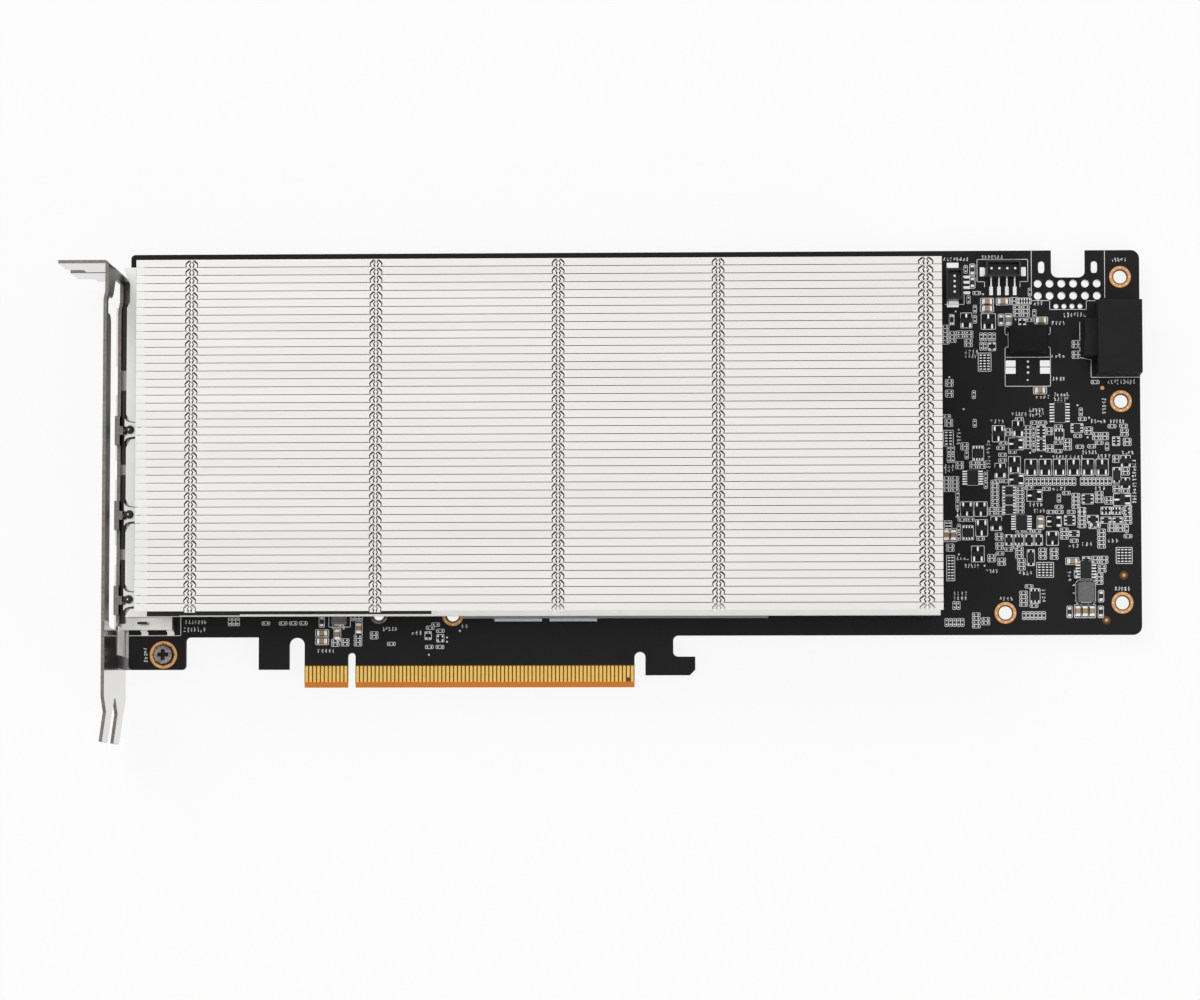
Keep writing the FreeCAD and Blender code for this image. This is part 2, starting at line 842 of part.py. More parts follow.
def cut_bracket_flange(body):
    """Part the top flange into one tab a slot, each with its corner screw notch."""
    notches = sketch_on(body, "XZ_Plane", "flange_notches")
    rectangle(notches,
              (FLANGE_TIP + " - 1", "bracket_low + slot_wide"),
              (BRACKET_OUTER + " + joggle - sheet", "bracket_low + slot_pitch"))
    for slot in range(2):
        low = "(bracket_low + %d * slot_pitch)" % slot
        edge = low + " - 1" if slot == 0 else low
        polygon(notches, [
            (FLANGE_TIP + " - 1", edge),
            (FLANGE_TIP + " + screw_notch_long", edge),
            (FLANGE_TIP + " + screw_notch_long", low + " + screw_notch_deep - screw_notch_corner"),
            (FLANGE_TIP + " + screw_notch_long - screw_notch_corner", low + " + screw_notch_deep"),
            (FLANGE_TIP + " - 1", low + " + screw_notch_deep"),
        ])
    pocket(body, notches)


def add_bracket_feet(body):
    """Two feet under the board that take its screws."""
    feet = sketch_on(body, "XY_Plane", "bracket_feet", "-board_thick - sheet")
    rectangle(feet, (BRACKET_OUTER, "foot_y - foot_wide / 2"),
              (BRACKET_INNER + " + foot_reach", "foot_y + foot_wide / 2"))
    rectangle(feet, (BRACKET_OUTER + " + joggle", "bracket_top - bend_round - foot_wide"),
              (BRACKET_INNER + " + foot_reach", "bracket_top - bend_round"))
    pad(body, feet, "sheet")
    threads = sketch_on(body, "XY_Plane", "foot_threads")
    for spot in FOOT_SPOTS:
        circle(threads, "screw_shank", spot)
    pocket(body, threads)


def add_spring_finger(body, middle, number):
    """A raised rim with a sprung finger that presses on a display connector's shell."""
    rim = sketch_on(body, "XZ_Plane", "finger_rim_%d" % number, "-(%s)" % middle)
    rectangle(rim, (BRACKET_OUTER + " - finger_rim_proud", "window_low - 0.2"),
              (BRACKET_INNER, "window_low + finger_rim_rise"))
    pad(body, rim, "finger_rim_wide", both_ways=True)
    finger = sketch_on(body, "XZ_Plane", "finger_%d" % number, "-(%s)" % middle)
    rim_top = "window_low + finger_rim_rise"
    polygon(finger, [
        (BRACKET_INNER + " - sheet / 2", rim_top),
        (BRACKET_INNER + " - sheet / 2", rim_top + " - finger_sheet"),
        (BRACKET_INNER + " + sheet", rim_top + " - finger_sheet"),
        (FINGER_TIP + " - sheet", "display_top"),
        (FINGER_TIP, "display_top"),
        (FINGER_TIP + " + sheet", "display_top + finger_sheet"),
        (FINGER_TIP + " + sheet", "display_top + finger_sheet * 2"),
        (FINGER_TIP + " - sheet / 2", "display_top + finger_sheet"),
        (BRACKET_INNER + " + sheet", rim_top),
    ])
    pad(body, finger, "finger_wide", both_ways=True)


def clip_finger_tips(body):
    """Take the corners off each finger's tip."""
    tip = "(%s + sheet)" % FINGER_TIP
    clips = sketch_on(body, "XY_Plane", "finger_clips")
    for number in range(DISPLAY_COUNT):
        for side in (-1, 1):
            edge = "finger_low_y + %d * display_pitch + %d * finger_wide / 2" % (number, side)
            inner = "%s - %d * finger_clip" % (edge, side)
            outer = "%s + %d * finger_clip" % (edge, side)
            polygon(clips, [
                (tip + " - finger_clip", edge),
                (tip, inner),
                (tip + " + finger_clip", inner),
                (tip + " + finger_clip", outer),
                (tip + " - finger_clip", outer),
            ])
    pocket(body, clips)


def make_screw(name, spot, seat, head, head_tall, bite, points_down):
    """A cross-recess screw whose head sits on the level called seat."""
    way = 1 if points_down else -1
    head_low = seat if points_down else "%s - %s" % (seat, head_tall)
    shank_low = "%s - (%s)" % (seat, bite) if points_down else seat
    crown = rod(name + "_head", head, head_tall, spot, head_low)
    shank = rod(name + "_shank", "screw_shank", bite, spot, shank_low)
    recess_low = "%s + %s - recess_deep" % (seat, head_tall) if way > 0 else head_low
    slots = []
    for turn, size in enumerate((("recess_long", "recess_wide"), ("recess_wide", "recess_long"))):
        slots.append(centred_block("%s_slot_%d" % (name, turn), size + ("recess_deep * 0.7",),
                                   spot, recess_low + (" + recess_deep * 0.3" if way > 0 else "")))
    return cut(name, fuse(name + "_blank", [crown, shank]), fuse(name + "_recess", slots))


def make_bracket_screws():
    seats = ("ring_thick", "0")
    screws = []
    for number, spot in enumerate(FOOT_SPOTS):
        bite = seats[number] + " + board_thick + sheet"
        screws.append(make_screw("bracket_screw_%d" % number, spot, seats[number],
                                 "pan_head", "pan_head_tall", bite, True))
    return group("bracket_screws", screws)


# ---------------------------------------------------------------- display connectors

def make_display_connector(number):
    """A stamped shell around a moulded block with its contact tongue."""
    wide, tall = display_size(number)
    middle = display_middle(number)
    low = "(display_top - %s)" % tall
    span = "display_long"
    inner_wide = "(%s - 2 * display_wall)" % wide
    inner_tall = "(%s - 2 * display_wall)" % tall
    block_left = "(%s - display_wall - display_block)" % DISPLAY_BACK
    left_side = "%s - %s / 2" % (middle, wide)
    inner_side = left_side + " + display_wall"
    tag = "display_%d" % (number + 1)

    case = block(tag + "_case", (span, wide, tall), (DISPLAY_FRONT, left_side, low))
    mouth = block(tag + "_mouth", ("%s - %s" % (block_left, DISPLAY_FRONT), inner_wide, inner_tall),
                  (DISPLAY_FRONT, inner_side, low + " + display_wall"))
    well = block(tag + "_well", ("display_block", inner_wide, inner_tall + " + display_wall"),
                 (block_left, inner_side, low))
    legs = []
    for side in (-1, 1):
        for end, along in enumerate((DISPLAY_FRONT + " + display_leg_set_back",
                                     DISPLAY_BACK + " - display_leg")):
            outward = "%s + %d * (%s + display_leg) / 2" % (middle, side, wide)
            legs.append(centred_block("%s_leg_%d_%d" % (tag, side + 1, end),
                                      ("display_leg * 1.6", "display_leg", "display_wall"),
                                      (along, outward), "0"))
            riser = "%s + %d * (%s + display_wall) / 2" % (middle, side, wide)
            legs.append(centred_block("%s_riser_%d_%d" % (tag, side + 1, end),
                                      ("display_leg * 1.6", "display_wall", low + " + 1"),
                                      (along, riser), "0"))
    hollow = cut(tag + "_hollow", case, fuse(tag + "_hollows", [mouth, well]))
    node(fuse(tag + "_shell_body", [hollow] + legs), "display_shell_%d" % (number + 1))

    moulding = block(tag + "_moulding", ("display_block", inner_wide,
                                         "display_top - display_wall"),
                     (block_left, inner_side, "0"))
    tongue_left = "(%s + display_tongue_set_back)" % DISPLAY_FRONT
    tongue = centred_block(tag + "_tongue",
                           (block_left + " - " + tongue_left, "display_tongue_wide",
                            "display_tongue_thick"),
                           ("(%s + %s) / 2" % (block_left, tongue_left), middle),
                           "display_top - (%s + display_tongue_thick) / 2" % tall)
    node(fuse(tag + "_insulator_body", [moulding, tongue]),
         "display_insulator_%d" % (number + 1))


# ---------------------------------------------------------------- accelerator and memory

def make_accelerator():
    centre = ("chip_x", "chip_y")
    package = centred_block("package_block", ("package_size", "package_size", "package_thick"),
                            centre, "0")
    node(package, "package_substrate")
    rim = centred_block("stiffener_block", ("package_size", "package_size", "stiffener_thick"),
                        centre, "package_thick")
    opening = centred_block("stiffener_opening",
                            ("package_size - 2 * stiffener_wide",
                             "package_size - 2 * stiffener_wide", "stiffener_thick"),
                            centre, "package_thick")
    node(cut("stiffener_frame", rim, opening), "package_stiffener")
    die = centred_block("die_block",
                        ("die_long", "die_wide", "cold_plate_low - package_thick"),
                        centre, "package_thick")
    node(die, "processor_die")


def memory_spots():
    """Centre and size of each memory chip: a row below, a column right, a row above."""
    spots = []
    for place_in_row in range(MEMORY_PER_SIDE):
        offset = "(%s) * memory_pitch" % (place_in_row - (MEMORY_PER_SIDE - 1) / 2)
        across = "chip_x + " + offset
        up = "chip_y + " + offset
        upright = ("memory_short", "memory_long")
        spots.append(((across, "memory_low_y"), upright))
        spots.append((("memory_right_x", up), upright[::-1]))
        spots.append(((across, "memory_high_y"), upright))
    return spots


def make_memory():
    pads = []
    for number, (centre, size) in enumerate(memory_spots(), start=1):
        chip = centred_block("memory_block_%d" % number, size + ("memory_thick",), centre, "0")
        node(chip, "memory_chip_%d" % number)
        bulges = number in (1, 4)
        shift = "pad_bulge" if bulges else "0"
        pads.append(centred_block("memory_pad_%d" % number,
                                  (size[0], size[1] + " + " + shift,
                                   "cold_plate_low - memory_thick"),
                                  (centre[0], centre[1] + " - %s / 2" % shift), "memory_thick"))
    group("memory_pads", pads)


# ---------------------------------------------------------------- power stages

def power_rows():
    return ["chip_y + (%d - (pipes - 1) / 2) * pipe_pitch" % row
            for row in range(int(value_of("pipes")))]


def make_power_stages():
    chokes = []
    pads = []
    stages = []
    tanks = []
    outer_edge = "(choke_pitch + choke_size / 2 + row_gap)"
    for row, up in enumerate(power_rows()):
        for side, start in ((-1, "choke_near_x"), (1, "choke_far_x")):
            tag = "%s_%d" % ("near" if side < 0 else "far", row)
            for column in range(2):
                centre = ("%s + %d * choke_pitch" % (start, side * column), up)
                chokes.append(centred_block("choke_%s_%d" % (tag, column),
                                            ("choke_size", "choke_size", "choke_tall"),
                                            centre, "0"))
                pads.append(centred_block("choke_pad_%s_%d" % (tag, column),
                                          ("choke_size", "choke_size",
                                           "cold_plate_low + cold_plate_thick - choke_tall"),
                                          centre, "choke_tall"))
            stage_x = "%s + %d * (%s + stage_wide / 2)" % (start, side, outer_edge)
            stages.append(centred_block("stage_" + tag,
                                        ("stage_wide", "stage_long", "stage_thick"),
                                        (stage_x, up), "0"))
            tank_x = "%s + %d * (%s + stage_wide + row_gap + bulk_wide / 2)" % (
                start, side, outer_edge)
            tanks.append(centred_block("tank_" + tag, ("bulk_wide", "bulk_long", "bulk_tall"),
                                       (tank_x, up), "0"))
    group("power_chokes", chokes)
    group("choke_pads", pads)
    group("power_switches", stages)
    group("bulk_capacitors", tanks)


# ---------------------------------------------------------------- heatsink

def make_cold_plate():
    plate = block("cold_plate_block",
                  ("cold_plate_right - cold_plate_left", "cold_plate_top - cold_plate_foot",
                   "cold_plate_thick"),
                  ("cold_plate_left", "cold_plate_foot", "cold_plate_low"))
    node(plate, "cold_plate")
    standoffs = []
    for number, spot in enumerate(BRACE_SPOTS):
        post = rod("standoff_post_%d" % number, "standoff_outer", "cold_plate_low", spot, "0")
        thread = rod("standoff_thread_%d" % number, "screw_shank", "brace_bite", spot, "0")
        standoffs.append(cut("standoff_%d" % number, post, thread))
    group("cold_plate_standoffs", standoffs)


def make_heat_pipe(number):
    """A flattened pipe with round sides and pinched ends."""
    body = new_body("heat_pipe_%d" % number)
    middle = power_rows()[number - 1]
    face = sketch_on(body, "XY_Plane", "pipe_%d_outline" % number, PIPE_LOW)
    rectangle(face, ("pipe_left", middle + " - pipe_wide / 2"),
              ("pipe_right", middle + " + pipe_wide / 2"))
    pad(body, face, "pipe_thick")
    side_low = value_of(middle + " - pipe_wide / 2")
    side_high = value_of(middle + " + pipe_wide / 2")
    ends = [("pipe_left", middle + " - pipe_wide / 2"), ("pipe_left", middle + " + pipe_wide / 2"),
            ("pipe_right", middle + " - pipe_wide / 2"),
            ("pipe_right", middle + " + pipe_wide / 2")]
    round_corners(body, ends, "pipe_wide * 0.35")
    levels = (value_of(PIPE_LOW), value_of(PIPE_LOW + " + pipe_thick"))
    spots = [(side, level) for side in (side_low, side_high) for level in levels]
    round_edges(body, edges_along(body.Tip.Shape, "x", spots), "pipe_thick * 0.45")
    return node(body, "heat_pipe_%d" % number)


def make_fin_carrier():
    """The sheet that the fins are soldered to; its bracket end stays in sight."""
    body = new_body("fin_carrier")
    face = sketch_on(body, "XY_Plane", "carrier_outline", CARRIER_LOW)
    corners = [
        ("carrier_left", CARRIER_FOOT),
        ("fin_right", CARRIER_FOOT),
        ("fin_right", CARRIER_TOP),
        ("fin_left", CARRIER_TOP),
        ("fin_left", CARRIER_TOP + " + carrier_ear"),
        ("carrier_left - carrier_ear_out", CARRIER_TOP + " + carrier_ear"),
        ("carrier_left - carrier_ear_out", CARRIER_TOP),
        ("carrier_left + carrier_relief", CARRIER_TOP + " - carrier_relief_long * 0.35"),
        ("carrier_left + carrier_relief", CARRIER_TOP + " - carrier_relief_long * 0.83"),
        ("carrier_left", CARRIER_TOP + " - carrier_relief_long"),
    ]
    for number in reversed(range(DISPLAY_COUNT)):
        middle = "finger_low_y + %d * display_pitch" % number
        corners += [
            ("carrier_left", middle + " + finger_notch"),
            ("carrier_left + finger_notch_flare", middle + " + finger_notch / 2"),
            ("carrier_left + finger_notch_depth", middle + " + finger_notch / 2 - fin_gap"),
            ("carrier_left + finger_notch_depth", middle + " - finger_notch / 2 + fin_gap"),
            ("carrier_left + finger_notch_flare", middle + " - finger_notch / 2"),
        ]
        # the lowest finger's notch runs straight out into the carrier's lower corner
        if number > 0:
            corners.append(("carrier_left", middle + " - finger_notch"))
    polygon(face, corners)
    pad(body, face, "carrier_thick")
    slot = sketch_on(body, "XY_Plane", "carrier_slot")
    rectangle(slot, ("carrier_slot_left", CARRIER_FOOT + " + carrier_rail"),
              ("carrier_slot_right", CARRIER_FOOT + " + carrier_rail + carrier_slot_tall"))
    pocket(body, slot)
    return node(body, "fin_carrier")


def make_fin_stack():
    """One folded fin with its lock slots, repeated across the card."""
    body = new_body("fin_stack")
    wall_side = "fin_foot + fin_pitch - fin_gap"
    section = sketch_on(body, "YZ_Plane", "fin_section", "fin_left")
    polygon(section, [
        ("fin_foot", FIN_LOW),
        (wall_side, FIN_LOW),
        (wall_side, "fin_top"),
        ("fin_foot", "fin_top"),
        ("fin_foot", "fin_top - fin_sheet"),
        (wall_side + " - fin_sheet", "fin_top - fin_sheet"),
        (wall_side + " - fin_sheet", FIN_LOW + " + fin_sheet"),
        ("fin_foot", FIN_LOW + " + fin_sheet"),
    ])
    pad(body, section, "fin_right - fin_left")
    locks = sketch_on(body, "XY_Plane", "lock_slots", "fin_top - 2 * fin_sheet")
    for column in LOCK_COLUMNS:
        for side in (-1, 1):
            middle = "%s + %d * lock_half" % (column, side)
            rectangle(locks, (middle + " - lock_slot / 2", "fin_foot + fin_sheet"),
                      (middle + " + lock_slot / 2", "fin_foot + fin_sheet + lock_long"))
    before = body.Shape.Volume
    slots = body.newObject("PartDesign::Pocket", "lock_slots_pocket")
    slots.Profile = locks
    slots.Reversed = True
    slots.setExpression("Length", cells("fin_sheet * 3"))
    doc.recompute()
    if body.Shape.Volume > before - 1e-3:
        raise RuntimeError("the lock slots cut nothing")
    repeat(body, [slots], "Y_Axis", "fin_pitch", "fin_count", whole=True)
    return node(body, "fin_stack")


# ---------------------------------------------------------------- brace behind the board

def cross_sheet(name, low, thick):
    """A four-armed sheet centred behind the accelerator, arms towards its screws."""
    body = new_body(name)
    arm = "(brace_half * 1.41421 + brace_arm / 2)"
    half = "(brace_arm / 2)"
    face = sketch_on(body, "XY_Plane", name + "_arms", low)
    polygon(face, [
        (half, half), (half, arm), ("-" + half, arm), ("-" + half, half),
        ("-" + arm, half), ("-" + arm, "-" + half), ("-" + half, "-" + half),
        ("-" + half, "-" + arm), (half, "-" + arm), (half, "-" + half),
        (arm, "-" + half), (arm, half),
    ])
    pad(body, face, thick)
    disc = sketch_on(body, "XY_Plane", name + "_disc", low)
    circle(disc, "brace_disc", ("0", "0"))
    pad(body, disc, thick)
    holes = sketch_on(body, "XY_Plane", name + "_holes")
    circle(holes, "brace_bore", ("0", "0"))
    reach = "brace_half * 1.41421"
    for centre in ((reach, "0"), ("-" + reach, "0"), ("0", reach), ("0", "-" + reach)):
        circle(holes, "board_screw_hole", centre)
    pocket(body, holes)
    body.Placement = FreeCAD.Placement(Vector(0, 0, 0), FreeCAD.Rotation(Vector(0, 0, 1), 45))
    place(body, ("chip_x", "chip_y", "0"))
    return node(body, name)


def make_brace():
    film_low = "-board_thick - insulator_thick"
    plate_low = film_low + " - brace_thick"
    cross_sheet("brace_insulator", film_low, "insulator_thick")
    cross_sheet("rear_brace", plate_low, "brace_thick")
    bite = "brace_thick + insulator_thick + board_thick + brace_bite"
    screws = [make_screw("brace_screw_%d" % number, spot, "(%s)" % plate_low, "brace_head",
                         "brace_head_tall", bite, False)
              for number, spot in enumerate(BRACE_SPOTS)]
    group("brace_screws", screws)


# ---------------------------------------------------------------- power socket

def cell_spots():
    """Centre Y and centre Z of each power cell, then of each sense cell."""
    middle = "(socket_foot + socket_wide / 2)"
    power = [("%s + (%s) * cell_pitch" % (middle, column - 2.5),
              "cell_low + cell_size / 2 + %d * cell_pitch" % row)
             for column in range(6) for row in range(2)]
    sense = [("%s + (%s) * sense_cell_pitch" % (middle, column - 1.5),
              "cell_low + cell_size + cell_pitch + 0.4 + sense_cell / 2")
             for column in range(4)]
    return power, sense


def make_power_socket():
    body = new_body("power_socket")
    shell = sketch_on(body, "XY_Plane", "socket_outline")
    rectangle(shell, (SOCKET_LEFT, "socket_foot"), ("board_right", "socket_foot + socket_wide"))
    pad(body, shell, "socket_tall")
    heel = sketch_on(body, "XY_Plane", "socket_heel")
    middle = "(socket_foot + socket_wide / 2)"
    rectangle(heel, (SOCKET_LEFT + " - socket_heel_long", middle + " - socket_heel_wide / 2"),
              (SOCKET_LEFT + " + header_wall", middle + " + socket_heel_wide / 2"))
    pad(body, heel, "socket_heel_tall")
    power, sense = cell_spots()
    face = sketch_on(body, "YZ_Plane", "socket_cells", "board_right")
    for spots, size in ((power, "cell_size"), (sense, "sense_cell")):
        for across, up in spots:
            rectangle(face, (across + " - %s / 2" % size, up + " - %s / 2" % size),
                      (across + " + %s / 2" % size, up + " + %s / 2" % size))
    before = body.Shape.Volume
    mouths = body.newObject("PartDesign::Pocket", "socket_mouths")
    mouths.Profile = face
    mouths.setExpression("Length", cells("cell_deep"))
    doc.recompute()
    if body.Shape.Volume > before - 1:
        raise RuntimeError("the socket cells cut nothing")
    node(body, "power_socket")

    pins = []
    for kind, spots, size in (("power", power, "power_pin"), ("sense", sense, "sense_pin")):
        for number, (across, up) in enumerate(spots):
            pins.append(block("%s_pin_%d" % (kind, number),
                              ("cell_deep - pin_set_back", size, size),
                              ("board_right - cell_deep", across + " - %s / 2" % size,
                               up + " - %s / 2" % size)))
    group("socket_pins", pins)


# ---------------------------------------------------------------- small headers

def make_header(name, centre, size, tall, pitch, along_x):
    """An open-topped housing with four square pins standing in it."""
    housing = centred_block(name + "_case", size + (tall,), centre, "0")
    hollow = centred_block(name + "_hollow",
                           tuple(side + " - 2 * header_wall" for side in size) +
                           (tall + " - header_floor",), centre, "header_floor")
    node(cut(name + "_housing", housing, hollow), name)
    pins = []
    for number in range(4):
        shift = "(%s) * %s" % (number - 1.5, pitch)
        spot = (centre[0] + " + " + shift, centre[1])
        if not along_x:
            spot = (centre[0], centre[1] + " + " + shift)
        pins.append(centred_block("%s_pin_%d" % (name, number),
                                  ("header_pin", "header_pin", tall + " - header_floor * 1.6"),
                                  spot, "header_floor"))
    return pins


def make_headers():
    pins = make_header("fan_header", ("fan_header_x", "fan_header_y"),
                       ("fan_header_long", "fan_header_wide"), "fan_header_tall",
                       "fan_pin_pitch", True)
    pins += make_header("side_header", ("side_header_x", "side_header_y"),
                        ("side_header_wide", "side_header_long"), "side_header_tall",
                        "side_pin_pitch", False)
    group("header_pins", pins)


# ---------------------------------------------------------------- parts on the board

def make_inductor(name, size, centre, tall):
    """A moulded power inductor with softened top corners."""
    body = new_body(name)
    outline = sketch_on(body, "XY_Plane", name + "_outline")
    low = [middle + " - %s / 2" % side for middle, side in zip(centre, size)]
    high = [middle + " + %s / 2" % side for middle, side in zip(centre, size)]
    rectangle(outline, low, high)
    pad(body, outline, tall)
    round_corners(body, [(low[0], low[1]), (low[0], high[1]), (high[0], low[1]),
                         (high[0], high[1])], "inductor_round")
    return node(body, name)


def make_inductors():
    make_inductor("large_inductor", ("large_inductor_long", "large_inductor_wide"),
                  ("large_inductor_x", "large_inductor_y"), "large_inductor_tall")
    make_inductor("input_inductor", ("input_inductor_long", "input_inductor_wide"),
                  ("input_inductor_x", "input_inductor_y"), "input_inductor_tall")
    make_inductor("filter_inductor", ("filter_inductor_size", "filter_inductor_size"),
                  ("filter_inductor_x", "filter_inductor_y"), "filter_inductor_tall")


def make_small_parts():
    capacitors = []
    for number, (across, up, lie) in enumerate(CAPACITORS):
        size = ("capacitor_long", "capacitor_wide")
        if lie == "Y":
            size = size[::-1]
        capacitors.append(centred_block("capacitor_%d" % number, size + ("capacitor_tall",),
                                        (str(across), str(up)), "0"))
    group("ceramic_capacitors", capacitors)
    chips = [centred_block("logic_%d" % number, (str(long), str(wide), "logic_tall"),
                           (str(across), str(up)), "0")
             for number, (across, up, long, wide) in enumerate(LOGIC_CHIPS)]
    group("logic_chips", chips)
    transistors = [centred_block("transistor_%d" % number,
                                 ("transistor_wide", "transistor_long", "transistor_tall"),
                                 ("transistor_first_x + %d * transistor_pitch" % number,
                                  "transistor_y"), "0")
                   for number in range(int(value_of("transistors")))]
    group("small_transistors", transistors)


# ---------------------------------------------------------------- build, check and write

make_circuit_board()
make_edge_contacts("edge_contacts_front", "0", True)
make_edge_contacts("edge_contacts_back", "-board_thick - contact_thick", False)
make_ground_rings()
make_clinch_nut()
make_io_bracket()
make_bracket_screws()
for display in range(DISPLAY_COUNT + 1):
    make_display_connector(display)
make_accelerator()
make_memory()
make_power_stages()
make_cold_plate()
for pipe in range(int(value_of("pipes"))):
    make_heat_pipe(pipe + 1)
make_fin_carrier()
make_fin_stack()
make_brace()
make_power_socket()
make_headers()
make_inductors()
make_small_parts()
doc.recompute()

for item in doc.Objects:
    if {"Invalid", "Error"} & set(item.State):
        raise RuntimeError("%s failed: %s" % (item.Label, item.State))
for part in NODES:
    if part.Shape.isNull() or not part.Shape.isValid():
        raise RuntimeError(part.Label + " has no sound shape")

os.makedirs("parts", exist_ok=True)
for part in NODES:
    part.Shape.exportStep(os.path.join("parts", part.Label + ".step"))
    print("%-24s %3d solids %9.1f mm3" % (part.Label, len(part.Shape.Solids), part.Shape.Volume))
print(len(NODES), "nodes")
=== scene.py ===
# %% [markdown]
# # A passive accelerator card
# The card is a dual-slot expansion board that lies on its back: a black circuit board, a bright stack of
# folded fins over it, and a nickel-plated slot bracket at one end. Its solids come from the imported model.
# Here each surface gets its finish, and the parts that are too fine for the solids are built on top of them.

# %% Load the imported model
import bmesh
import bpy
import math
import random
from mathutils import Matrix, Vector


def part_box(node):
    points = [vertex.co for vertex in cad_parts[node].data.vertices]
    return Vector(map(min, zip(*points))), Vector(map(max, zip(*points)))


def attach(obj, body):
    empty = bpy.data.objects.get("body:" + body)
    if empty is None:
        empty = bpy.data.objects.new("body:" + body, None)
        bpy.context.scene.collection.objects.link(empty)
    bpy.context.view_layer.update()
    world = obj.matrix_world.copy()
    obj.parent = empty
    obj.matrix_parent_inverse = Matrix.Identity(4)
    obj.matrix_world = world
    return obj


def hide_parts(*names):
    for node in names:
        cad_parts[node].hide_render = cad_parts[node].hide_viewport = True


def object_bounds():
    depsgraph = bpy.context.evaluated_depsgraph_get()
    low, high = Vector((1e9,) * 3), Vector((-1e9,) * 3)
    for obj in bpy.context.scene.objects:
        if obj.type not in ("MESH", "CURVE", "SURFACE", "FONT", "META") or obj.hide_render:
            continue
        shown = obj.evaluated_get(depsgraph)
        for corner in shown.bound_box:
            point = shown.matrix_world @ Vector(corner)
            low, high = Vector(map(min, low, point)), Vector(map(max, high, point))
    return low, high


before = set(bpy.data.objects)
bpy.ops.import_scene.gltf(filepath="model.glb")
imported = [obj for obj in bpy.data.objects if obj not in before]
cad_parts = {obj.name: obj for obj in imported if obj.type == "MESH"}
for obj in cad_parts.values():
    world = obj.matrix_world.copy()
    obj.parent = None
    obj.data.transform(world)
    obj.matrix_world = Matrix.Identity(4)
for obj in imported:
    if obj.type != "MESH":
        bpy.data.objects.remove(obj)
cad_low, cad_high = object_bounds()
MM = 0.001
WELD = 0.002 * MM
NEAR = 1e-4
print("card, mm:", [round((high - low) / MM, 1) for low, high in zip(cad_low, cad_high)])

# %% [markdown]
# ## Small helpers
# Sizes are easier to read in millimetres, so each shape is built in millimetres and scaled once, when it
# becomes an object. A stamp is a small mesh that is drawn once and then copied to many places. WELD is how
# near two packed corners lie to count as one, in metres, and NEAR is how near two heights lie to count as
# the same, in millimetres.

# %% Turn a bmesh into a mesh, or into a piece that rides on the card
def keep_mesh(bm, name):
    mesh = bpy.data.meshes.new(name)
    bm.to_mesh(mesh)
    bm.free()
    return mesh


def make_piece(bm, name, finishes, replaces=(), outward=True):
    """Scale a shape to metres and let it ride on the card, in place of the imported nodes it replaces."""
    if outward:
        bmesh.ops.recalc_face_normals(bm, faces=bm.faces)
    bmesh.ops.scale(bm, vec=(MM, MM, MM), verts=bm.verts)
    mesh = keep_mesh(bm, name)
    piece = bpy.data.objects.new(name, mesh)
    bpy.context.scene.collection.objects.link(piece)
    for finish in finishes:
        mesh.materials.append(finish)
    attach(piece, "root")
    if replaces:
        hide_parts(*replaces)
    print("%-22s %6d faces" % (name, len(mesh.polygons)))
    return piece


def once_each(items):
    """Every item once, in the order in which it first comes, so that each run builds the same mesh."""
    return list(dict.fromkeys(items))


def box_mm(node):
    """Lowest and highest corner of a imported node, in millimetres."""
    low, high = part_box(node)
    return low / MM, high / MM


# %% Boxes, plates, rods and stamps
def add_box(bm, low, high, bevel=0.0, segments=1, finish=0):
    """A box between two corners, with softened edges if asked."""
    made = bmesh.ops.create_cube(bm, size=1.0)["verts"]
    size = [b - a for a, b in zip(low, high)]
    bmesh.ops.scale(bm, vec=size, verts=made)
    bmesh.ops.translate(bm, vec=[(a + b) / 2 for a, b in zip(low, high)], verts=made)
    faces = once_each(face for vert in made for face in vert.link_faces)
    if bevel:
        edges = once_each(edge for vert in made for edge in vert.link_edges)
        rounded = bmesh.ops.bevel(bm, geom=edges, offset=bevel, segments=segments, profile=0.5,
                                  affect="EDGES", material=-1, clamp_overlap=True)
        faces = once_each(face for vert in rounded["verts"] for face in vert.link_faces)
    for face in faces:
        face.material_index = finish
    return faces


def add_rod(bm, radius, low, high, centre, sides=24, bevel=0.0, finish=0):
    """An upright rod, its top edge softened if asked."""
    made = bmesh.ops.create_cone(bm, cap_ends=True, segments=sides, radius1=radius,
                                 radius2=radius, depth=high - low)["verts"]
    bmesh.ops.translate(bm, vec=(centre[0], centre[1], (low + high) / 2), verts=made)
    faces = once_each(face for vert in made for face in vert.link_faces)
    if bevel:
        rim = [edge for edge in once_each(e for v in made for e in v.link_edges)
               if all(abs(v.co.z - high) < NEAR for v in edge.verts)]
        rounded = bmesh.ops.bevel(bm, geom=rim, offset=bevel, segments=2, profile=0.5,
                                  affect="EDGES", material=-1)
        faces += rounded["faces"]
    for face in faces:
        if face.is_valid:
            face.material_index = finish


def thicken(bm, faces, height):
    """Grow a flat face into a slab; a negative height grows it downward."""
    raised = bmesh.ops.extrude_face_region(bm, geom=faces)
    moved = [item for item in raised["geom"] if isinstance(item, bmesh.types.BMVert)]
    bmesh.ops.translate(bm, vec=(0, 0, height), verts=moved)


def keep_rim(bm, wide, even):
    """Leave only a rim of some width of a flat plate."""
    inside = bmesh.ops.inset_region(bm, faces=bm.faces[:], thickness=wide, use_even_offset=even,
                                    use_boundary=True)
    rim = set(inside["faces"])
    bmesh.ops.delete(bm, geom=[face for face in bm.faces if face not in rim], context="FACES_ONLY")


